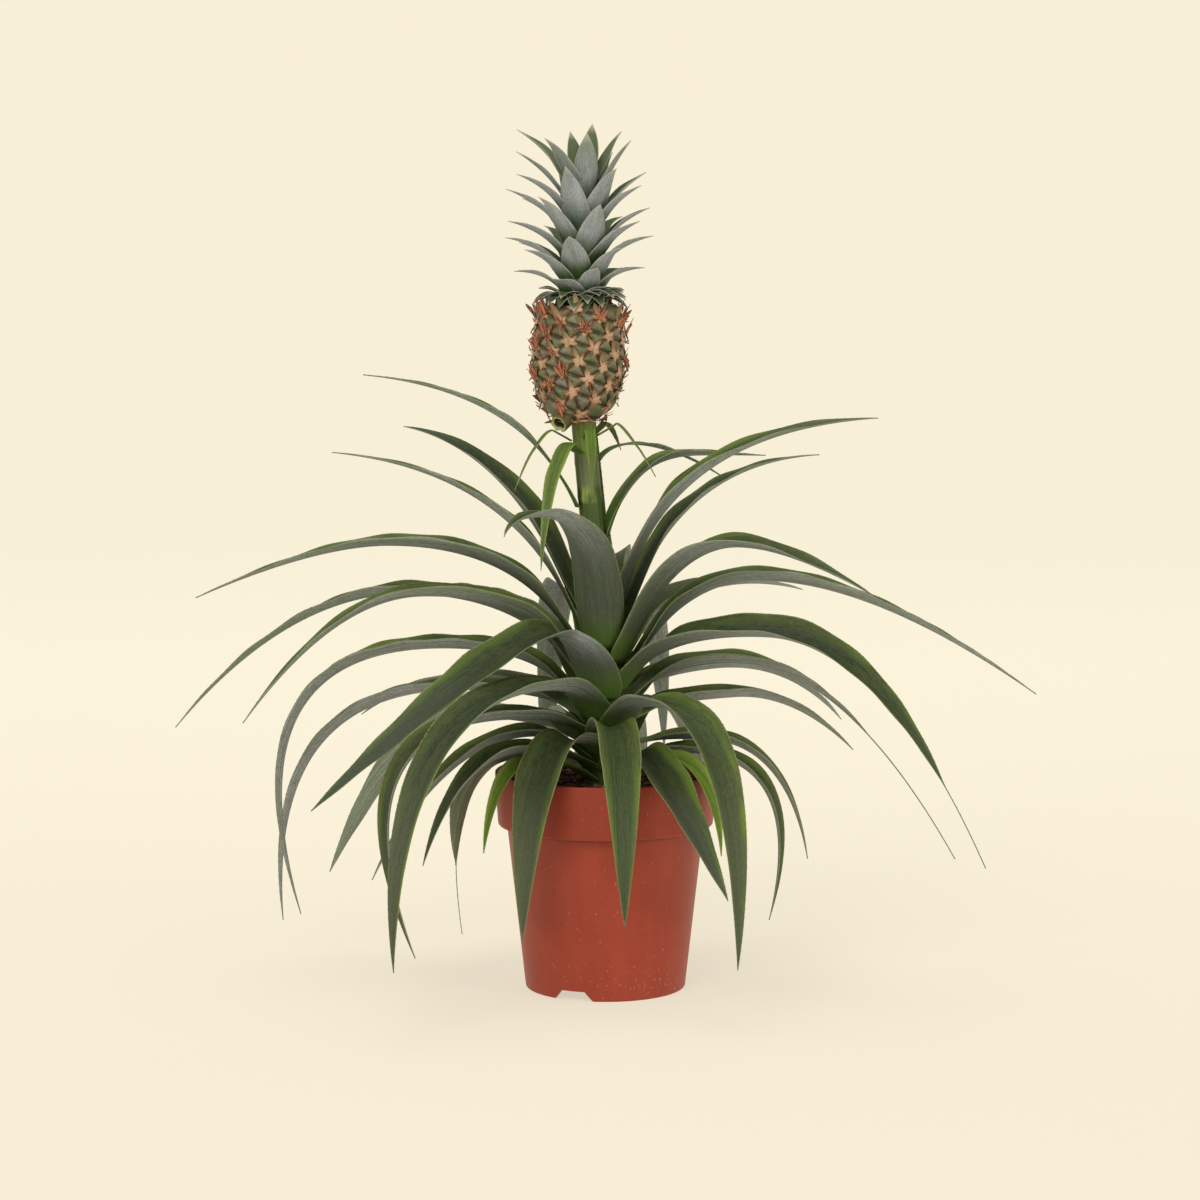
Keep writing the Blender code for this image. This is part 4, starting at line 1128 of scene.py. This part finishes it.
def add_flower(heap, eye, draw, top):
    """A withered flower: strips side by side, flat on the fruit, but near its top upright and longer."""
    place, right, up, out = eye
    lean = draw.choice((-1, 1)) * draw.uniform(5, 50) + draw.choice((0, 0, 180))
    if top > 0.5:
        lean = draw.uniform(-35, 35)
    lean = math.radians(lean)
    along = up * math.cos(lean) + right * math.sin(lean)
    across = right * math.cos(lean) - up * math.sin(lean)
    strips = draw.choice(STRIPS)
    for strip in range(strips):
        offset = (strip - (strips - 1) / 2) * STRIP_SPACING
        lift = draw.uniform(0.06 + 0.14 * top, 0.28 + 0.47 * top)
        direction = along + out * lift + across * (offset * 110)
        direction = (direction + across * draw.uniform(-0.15, 0.15)).normalized()
        curl = along * draw.uniform(-0.6, 0.1) + across * draw.uniform(-0.5, 0.5) + out * 0.15
        root = place + out * 0.0006 + across * offset - along * 0.0022
        length = draw.uniform(*STRIP_LENGTHS) * (1 + 0.20 * top)
        add_petal(heap, root, direction, curl, length, draw.uniform(*STRIP_WIDTHS), draw.random())


def fruit_paint():
    """Grey-green and violet-grey domes, dark olive seams, tan round the eyes and a brown shoulder."""
    paint = new_paint("pineapple skin", {"Specular IOR Level": 0.5})
    place = paint.place()
    marks = paint.mark("eye")
    dome = marks.axis("Y")
    tint = marks.axis("Z")
    mottle = place.noise(330, 4)
    fine = place.noise(1500, 3)
    bloom = tint.step(0.0, 0.6).blend(rgb(95, 150, 70), rgb(190, 205, 160))
    bloom = tint.step(0.65, 0.9).blend(bloom, rgb(200, 165, 175))
    shoulder = place.axis("Z").step(FRUIT_TOP - 0.005, FRUIT_TOP)
    skin = coated(
        rgb(110, 112, 45),
        (mottle.step(0.35, 0.65) * 0.8 + 0.2, bloom),
        (place.noise(120, 3).step(0.50, 0.68) * 0.5, rgb(170, 105, 60)),
    )
    colour = coated(
        rgb(36, 34, 10),
        (dome.step(0.20, 0.85), skin),
        (marks.axis("X") * 0.75, rgb(235, 165, 80)),
        (fine.step(0.50, 0.70) * 0.35, rgb(300, 200, 120)),
        (shoulder * 0.8, mottle.blend(rgb(35, 30, 12), rgb(110, 75, 35))),
    )
    return paint.finish(colour, 0.56 - dome * 0.20 + mottle * 0.1, (mottle + fine * 0.5).bump(0.0005, 0.7))


def bract_paint():
    """Dry tan bract: peach in the middle, greenish straw towards the points, pinkish brown at the edge."""
    paint = new_paint("dry bract", {"Specular IOR Level": 0.3})
    marks = paint.mark("eye")
    tint = marks.axis("Y")
    grain = paint.place().noise(900, 4)
    arm = tint.blend(rgb(330, 235, 115), rgb(240, 235, 100))
    colour = coated(
        tint.blend(rgb(560, 350, 235), rgb(480, 340, 205)),
        ((marks.axis("Z") + grain * 0.4).step(0.45, 1.15), arm),
        (paint.place().noise(260, 3).step(0.50, 0.66) * 0.55, rgb(215, 185, 85)),
        (grain.step(0.50, 0.68) * 0.55, rgb(320, 135, 80)),
        (marks.axis("X").step(0.62, 0.98) * 0.9, rgb(215, 110, 55)),
    )
    return paint.finish(colour, 0.6 + grain * 0.2, grain.bump(0.0008, 0.9))


def petal_paint():
    """Withered flower: rusty orange strips, some nearly brown, paler at their folds."""
    paint = new_paint("withered flower", {"Specular IOR Level": 0.3})
    marks = paint.mark("eye")
    grain = paint.place().noise(1300, 3)
    colour = coated(
        marks.axis("Y").step(0.15, 0.85).blend(rgb(200, 60, 38), rgb(460, 140, 62)),
        (grain.step(0.46, 0.66) * 0.7, rgb(600, 320, 200)),
        (marks.axis("X").step(0.75, 1.0), rgb(200, 65, 45)),
    )
    return paint.finish(colour, 0.55 + grain * 0.2, grain.bump(0.0004))


places = eye_places()
eyes = [eye_frame(bearing, share) for bearing, share in places]
rings, seam_marks = fruit_body(eyes)
add_piece("fruit_body", *closed(rings), fruit_paint(), "fruit_skin", ["fruit"], {"eye": seam_marks})
fruit_draw = random.Random(11)
bracts = Heap("eye")
flowers = Heap("eye")
for (bearing, share), eye in zip(places, eyes):
    top = smoothstep(0.66, 0.85, share) if share < BARE_SHARE else 0
    add_star(bracts, eye, fruit_draw, top)
    if share <= BARE_SHARE:
        add_hairs(flowers, eye, fruit_draw)
        if fruit_draw.random() < FLOWER_SHARE + 0.3 * top:
            add_flower(flowers, eye, fruit_draw, top)
for i in range(COLLAR_STRIPS):
    bearing = 360 * i / COLLAR_STRIPS + fruit_draw.uniform(-12, 12)
    around = heading(bearing + fruit_draw.choice((-90, 90)))
    out = heading(bearing)
    root = fruit_middle(0) + out * fruit_draw.uniform(*COLLAR_REACHES)
    direction = (around + out * 0.3 + Vector((0, 0, fruit_draw.uniform(-0.35, 0.05)))).normalized()
    length = fruit_draw.uniform(*COLLAR_LENGTHS)
    add_petal(bracts, root, direction, around * 0.2 - out * 0.4, length, COLLAR_WIDTH, fruit_draw.random())
bracts.dress("fruit_bracts", bract_paint(), "fruit_skin")
flowers.dress("fruit_flowers", petal_paint(), "fruit_skin")

# Side shoot stub
# What is left of a side shoot that was broken off: a short fleshy stub under the fruit's front left, with a
# hollow darkened by painted shade and a pale torn rim.
STUB_BEARING = 232
STUB_REACH = 0.0073
STUB_RISE = 0.0052
STUB_TILT = 1.4
STUB_SIDES = 40
STUB_HOLLOW = 0.008  # depth under its root at which the hollow ends
STUB_OUTLINE = ((0, 0.0056), (0.004, 0.0058), (0.008, 0.0058), (0.0112, 0.0051), (0.0125, 0.0044),
                (0.0122, 0.0036), (0.0105, 0.0030), (0.0085, 0.0024))


def stub_rings():
    """Rings down the outside of the stub, over its rim and up into its hollow."""
    out = heading(STUB_BEARING)
    top = fruit_middle(0) + out * STUB_REACH + Vector((0, 0, STUB_RISE))
    drop = (out * STUB_TILT + Vector((0, 0, -1))).normalized()
    across = drop.orthogonal().normalized()
    rays = [Matrix.Rotation(2 * math.pi * i / STUB_SIDES, 3, drop) @ across for i in range(STUB_SIDES)]
    rings = [[top]]
    for depth, radius in STUB_OUTLINE:
        ring = []
        for ray in rays:
            ragged = 1 + 0.10 * noise.noise(ray * 1.7 + Vector((0, 0, depth * 250)))
            ring.append(top + drop * depth * ragged + ray * radius * ragged)
        rings.append(ring)
    rings.append([top + drop * STUB_HOLLOW])
    return rings


def stub_paint():
    """Brown outside, pale green at the torn rim and painted shade inside, as the mark eye goes from 0 to 1.
    """
    paint = new_paint("stub tissue", {"Specular IOR Level": 0.35})
    depth = paint.mark("eye").axis("X")
    grain = paint.place().noise(900, 4)
    colour = coated(
        grain.blend(rgb(60, 50, 20), rgb(150, 125, 50)),
        (depth.step(0.48, 0.60), rgb(420, 440, 160)),
        # Painted shade: the hollow goes near black inside.
        (depth.step(0.66, 0.78), rgb(12, 18, 10)),
    )
    return paint.finish(colour, 0.5 + grain * 0.25, grain.bump(0.0006))


rings = stub_rings()
stub_marks = [(i / (len(rings) - 1), 0, 0) for i, ring in enumerate(rings) for _ in ring]
add_piece("side_shoot_stub", *closed(rings), stub_paint(), "fruit_skin", (), {"eye": stub_marks})

# Crown
# A tuft of short broad leaves on the fruit, in a spiral round a small core: the lowest curl down, the middle
# ones arch out and the topmost stand up. A silvery bloom covers their outer faces.
CROWN_LEAN = 0.0022
BASE_LEAVES = 22  # small leaves round its foot
CROWN_CORE_RADIUS = 0.0105
CROWN_CORE_HEIGHT = 0.058
CROWN_FOOT = 0.0022
CROWN_LEAF_THICK = 0.0009
CROWN_CLASP_REACH = 0.010
CROWN_FREE_REACH = 0.026
CROWN_FOLD = 0.46
CROWN_RISE = (52, 78)  # degrees at which the lowest and the highest leaf leave the core
CROWN_BLUNT = (3.2, 2.0)  # power of the taper of short and of long leaves
CROWN_STEPS = 22
CROWN_COLUMNS = 10
CROWN_CORE_SIDES = 32
CROWN_CORE_RINGS = 8
CROWN_WAVE = (0.0003, 0.018)  # height and length of the ripple along its leaves' margins
BASE_WAVE = (0.0006, 0.009)
BASE_REACHES = (0.019, 0.028)
BASE_WIDTHS = (0.011, 0.018)

CrownLeaf = namedtuple("CrownLeaf", "bearing foot reach tip width")

# In degrees and millimetres, from the lowest leaf to the highest: bearing, height of the foot over the
# fruit, reach of the tip, its height over the fruit, and full width
CROWN_LEAVES = [CrownLeaf(row[0], *[value / 1000 for value in row[1:]]) for row in (
    (262, 0, 25.5, -3, 14), (298, 0, 26, -1, 13), (226, 0, 25, 0, 13), (8, 0, 25, 4, 13),
    (150, 0, 26, 1, 13), (75, 0, 25, 2, 13), (340, 1, 26, 3, 14), (196, 1, 27, 0, 14),
    (30, 1, 27, 6, 13), (280, 1, 24, 1, 13), (314, 2, 26, 4, 14), (244, 2, 24, 4, 13),
    (112, 2, 28, 8, 14), (246, 3, 24, 14, 15), (290, 4, 26, 20, 14), (185, 4, 36, 18, 14),
    (350, 5, 35, 20, 15), (38, 6, 34, 18, 15), (216, 8, 37, 30, 17), (318, 9, 29, 31, 16),
    (90, 10, 38, 28, 16), (150, 11, 39, 33, 16), (256, 12, 26, 37, 18), (178, 13, 41, 36, 16),
    (355, 14, 39, 37, 17), (120, 16, 41, 42, 16), (196, 19, 41, 45, 18), (330, 18, 36, 45, 18),
    (292, 20, 27, 54, 19), (58, 21, 42, 47, 16), (8, 23, 37, 52, 17), (226, 25, 33, 58, 18),
    (145, 27, 40, 57, 16), (180, 29, 41, 62, 17), (85, 31, 38, 62, 16), (338, 32, 34, 64, 18),
    (22, 34, 37, 71, 16), (248, 33, 24, 74, 19), (312, 36, 27, 73, 18), (202, 37, 38, 70, 18),
    (118, 40, 34, 78, 16), (186, 42, 36, 82, 17), (60, 43, 32, 82, 16), (350, 44, 26, 88, 16),
    (278, 46, 14, 92, 18), (152, 48, 41, 94, 17), (220, 50, 27, 89, 17), (28, 51, 23, 93, 14),
    (118, 53, 16, 93, 14), (70, 55, 13, 97, 16),
)]


def crown_middle(height):
    """The crown's axis at a height over the fruit."""
    return fruit_middle(1) + Vector((CROWN_LEAN * height / CROWN_CORE_HEIGHT, 0, height))


def crown_core_radius(share):
    return CROWN_CORE_RADIUS * (1 - 0.7 * share)


def crown_section(leaf, t):
    """Section of a crown leaf at a share of its length."""
    share = leaf.foot / CROWN_CORE_HEIGHT
    foot = Vector((crown_core_radius(share) - 0.0008, CROWN_FOOT + leaf.foot))
    tip = Vector((leaf.reach, leaf.tip))
    start = math.radians(CROWN_RISE[0] + (CROWN_RISE[1] - CROWN_RISE[0]) * share)
    turn = foot + Vector((math.cos(start), math.sin(start))) * (tip - foot).length * 0.5
    spot = bezier(foot, turn, tip, t)
    slope = ((turn - foot) * (1 - t) + (tip - turn) * t).normalized()
    blunt = CROWN_BLUNT[0] + (CROWN_BLUNT[1] - CROWN_BLUNT[0]) * smoothstep(0.026, 0.036, leaf.reach)
    half = leaf.width / 2 * max(0.012, min(1.0, 0.8 + 0.9 * t) * (1 - t**blunt))
    free = smoothstep(CROWN_CLASP_REACH, CROWN_FREE_REACH, spot.x)
    axis = crown_middle(CROWN_FOOT + leaf.foot)
    spot.y += FRUIT_TOP
    return Section(axis, leaf.bearing, spot, slope, half, free, CROWN_FOLD, 0)


def crown_skin():
    """A silvery violet-grey bloom outside, green inside and at the foot, painted shade low down, pale at
    edge and point.
    """
    paint = new_paint("crown leaf skin", {"Specular IOR Level": 0.3})
    place = paint.mark("place")
    side = abs(place.axis("X"))
    along = place.axis("Y")
    height = paint.place().axis("Z")
    length = paint.mark("length")
    ribs = length.stretched(1.5, 0.02, 1).noise(1.0, 3)
    threads = length.stretched(4.5, 0.06, 1).noise(1.0, 2)
    rubbed = length.stretched(0.35, 0.09, 1).noise(1.0, 3)
    grain = length.stretched(1.6, 0.7, 1).noise(1.0, 3)
    silver = coated(
        ribs.step(0.25, 0.75).blend(rgb(285, 320, 345), rgb(400, 440, 475)),
        (threads.step(0.50, 0.66) * 0.30, rgb(140, 165, 155)),
        (grain.step(0.45, 0.60) * 0.50, rgb(185, 208, 210)),
        ((1 - side) * rubbed.step(0.46, 0.66) * 0.45, rgb(110, 135, 115)),
    )
    # Painted shade: the inner faces of the lowest leaves are darker, under the leaves above them.
    low = (1 - height.step(FRUIT_TOP + 0.004, FRUIT_TOP + 0.020)) * 0.45
    green = ribs.blend(rgb(48, 78, 26), rgb(105, 140, 52))
    green = low.blend(green, ribs.blend(rgb(26, 34, 20), rgb(60, 72, 40)))
    # The foot's green is partly the leaves' real green base and partly painted shade where the leaves
    # overlap.
    foot = 1 - (along + rubbed * 0.6).step(0.55, 1.40)
    colour = coated(
        place.axis("Z").blend(silver, green),
        (height.step(FRUIT_TOP + 0.060, FRUIT_TOP + 0.085) * 0.45, rgb(110, 145, 80)),
        (foot, ribs.blend(rgb(32, 66, 22), rgb(85, 145, 46))),
        (side.step(0.90, 0.97) * 0.6, rgb(360, 370, 300)),
        (along.step(1.70, 1.95) * 0.8, rgb(400, 370, 290)),
    )
    relief = ribs + threads * 0.5 + grain * 0.3
    return paint.finish(colour, 0.52 + ribs * 0.12, relief.bump(0.00028, 0.8))


def add_crown_leaf(heap, leaf, reach, wave, number):
    """Adds a crown leaf. reach is how far along, up to 2, its skin takes the tip to be."""
    shares = [-1 + 2 * j / CROWN_COLUMNS for j in range(CROWN_COLUMNS + 1)]
    steps = [i / CROWN_STEPS for i in range(CROWN_STEPS + 1)]
    sections = [crown_section(leaf, t) for t in steps]
    along = [reach * t for t in steps]
    add_blade(heap, sections, shares, along, CROWN_LEAF_THICK, wave, (0, 0, number), False)


def core_rings():
    """Rings up the slim core that the crown's leaves stand on."""
    rings = [[crown_middle(GAP)]]
    for i in range(CROWN_CORE_RINGS + 1):
        share = i / CROWN_CORE_RINGS
        ring = level_ring(crown_core_radius(share), 0, CROWN_CORE_SIDES)
        rings.append([crown_middle(GAP + CROWN_CORE_HEIGHT * share) + point for point in ring])
    rings.append([crown_middle(CROWN_CORE_HEIGHT + 0.003)])
    return rings


crown_finish = crown_skin()
crown = Heap("place", "length", "tone")
crown_draw = random.Random(5)
for number, leaf in enumerate(CROWN_LEAVES):
    add_crown_leaf(crown, leaf, 2, (*CROWN_WAVE, number * 1.3), number + 1)
for number in range(BASE_LEAVES):
    share = number / BASE_LEAVES
    tip = -0.004 + 0.018 * share**1.5 + crown_draw.uniform(-0.001, 0.004)
    reach = crown_draw.uniform(*BASE_REACHES) - 0.005 * share
    width = crown_draw.uniform(*BASE_WIDTHS)
    leaf = CrownLeaf(GOLDEN_ANGLE * number, -0.0010 + 0.0035 * share, reach, tip, width)
    add_crown_leaf(crown, leaf, 1, (*BASE_WAVE, number * 1.7), number + 60)
crown.dress("crown_leaves", crown_finish, "crown_leaf", ["crown"])
core = Heap("place", "length")
core.add(*closed(core_rings()), {"place": (0, 0, 0), "length": (0, 0, 0)})
core.dress("crown_core", crown_finish, "crown_leaf")

# Studio
# A pale cream floor that curves up into a round wall, broad soft lights, and a camera at the photograph's
# height, a little above the leaves and two metres away.
CAMERA_TARGET = Vector((-0.0030, 0, 0.2138))
CAMERA_DISTANCE = 2.0
CAMERA_ELEVATION = math.radians(6.5)
METRES_PER_PIXEL = 0.0005454
PHOTO_PIXELS = 1200
SENSOR_WIDTH = 36
FLOOR_RADIUS = 3.0
WALL_CURVE = 1.5
WALL_HEIGHT = 4.5
STUDIO_SIDES = 96
LIGHTS_AIM = Vector((0, 0, 0.22))


def cream_paper():
    """The floor glows a little, so that its shadows stay as soft and pale as on a lit sheet."""
    paint = new_paint("cream paper", {"Base Color": rgb(285, 262, 204), "Roughness": 0.9,
                                      "Specular IOR Level": 0.0, "Emission Strength": 1.0})
    away = paint.place().axis("Y").step(-0.6, 1.6)
    return paint.feed({"Emission Color": away.blend(rgb(598, 548, 452), rgb(718, 671, 552))})


def add_stage():
    outline = [(0, 0), (0.3, 0), (1.0, 0)]
    outline += arc((FLOOR_RADIUS, WALL_CURVE), WALL_CURVE, -90, 0, 12)
    outline += [(FLOOR_RADIUS + WALL_CURVE, WALL_HEIGHT)]
    rings = turned(outline, STUDIO_SIDES)
    points = [point for ring in rings for point in ring]
    add_mesh("studio_floor", points, ring_faces(rings), cream_paper())


def add_light(name, place, size, watts, colour):
    data = bpy.data.lights.new(name, "AREA")
    data.shape = "DISK"
    data.size = size
    data.energy = watts
    data.color = colour
    light = add_object(name, data)
    light.location = place
    light.rotation_euler = (LIGHTS_AIM - light.location).to_track_quat("-Z", "Y").to_euler()


def add_camera():
    data = bpy.data.cameras.new("camera")
    data.sensor_width = SENSOR_WIDTH
    data.lens = CAMERA_DISTANCE / METRES_PER_PIXEL * SENSOR_WIDTH / PHOTO_PIXELS
    camera = add_object("camera", data)
    back = Vector((0, -math.cos(CAMERA_ELEVATION), math.sin(CAMERA_ELEVATION)))
    camera.location = CAMERA_TARGET + back * CAMERA_DISTANCE
    camera.rotation_euler = (math.pi / 2 - CAMERA_ELEVATION, 0, 0)
    bpy.context.scene.camera = camera


add_stage()
add_light("key light", (-0.8, -2.1, 2.1), 1.5, 38, (1.0, 0.985, 0.96))
add_light("fill light", (1.9, -1.5, 1.2), 1.6, 10, (1.0, 0.98, 0.95))
add_light("top light", (-0.2, 0.3, 2.6), 1.6, 20, (1.0, 0.99, 0.98))
add_camera()
world = bpy.data.worlds.new("studio air")
world.use_nodes = True
background = world.node_tree.nodes["Background"]
background.inputs["Color"].default_value = rgb(950, 950, 950)
background.inputs["Strength"].default_value = 0.30
bpy.context.scene.world = world
bpy.context.scene.view_settings.view_transform = "Standard"
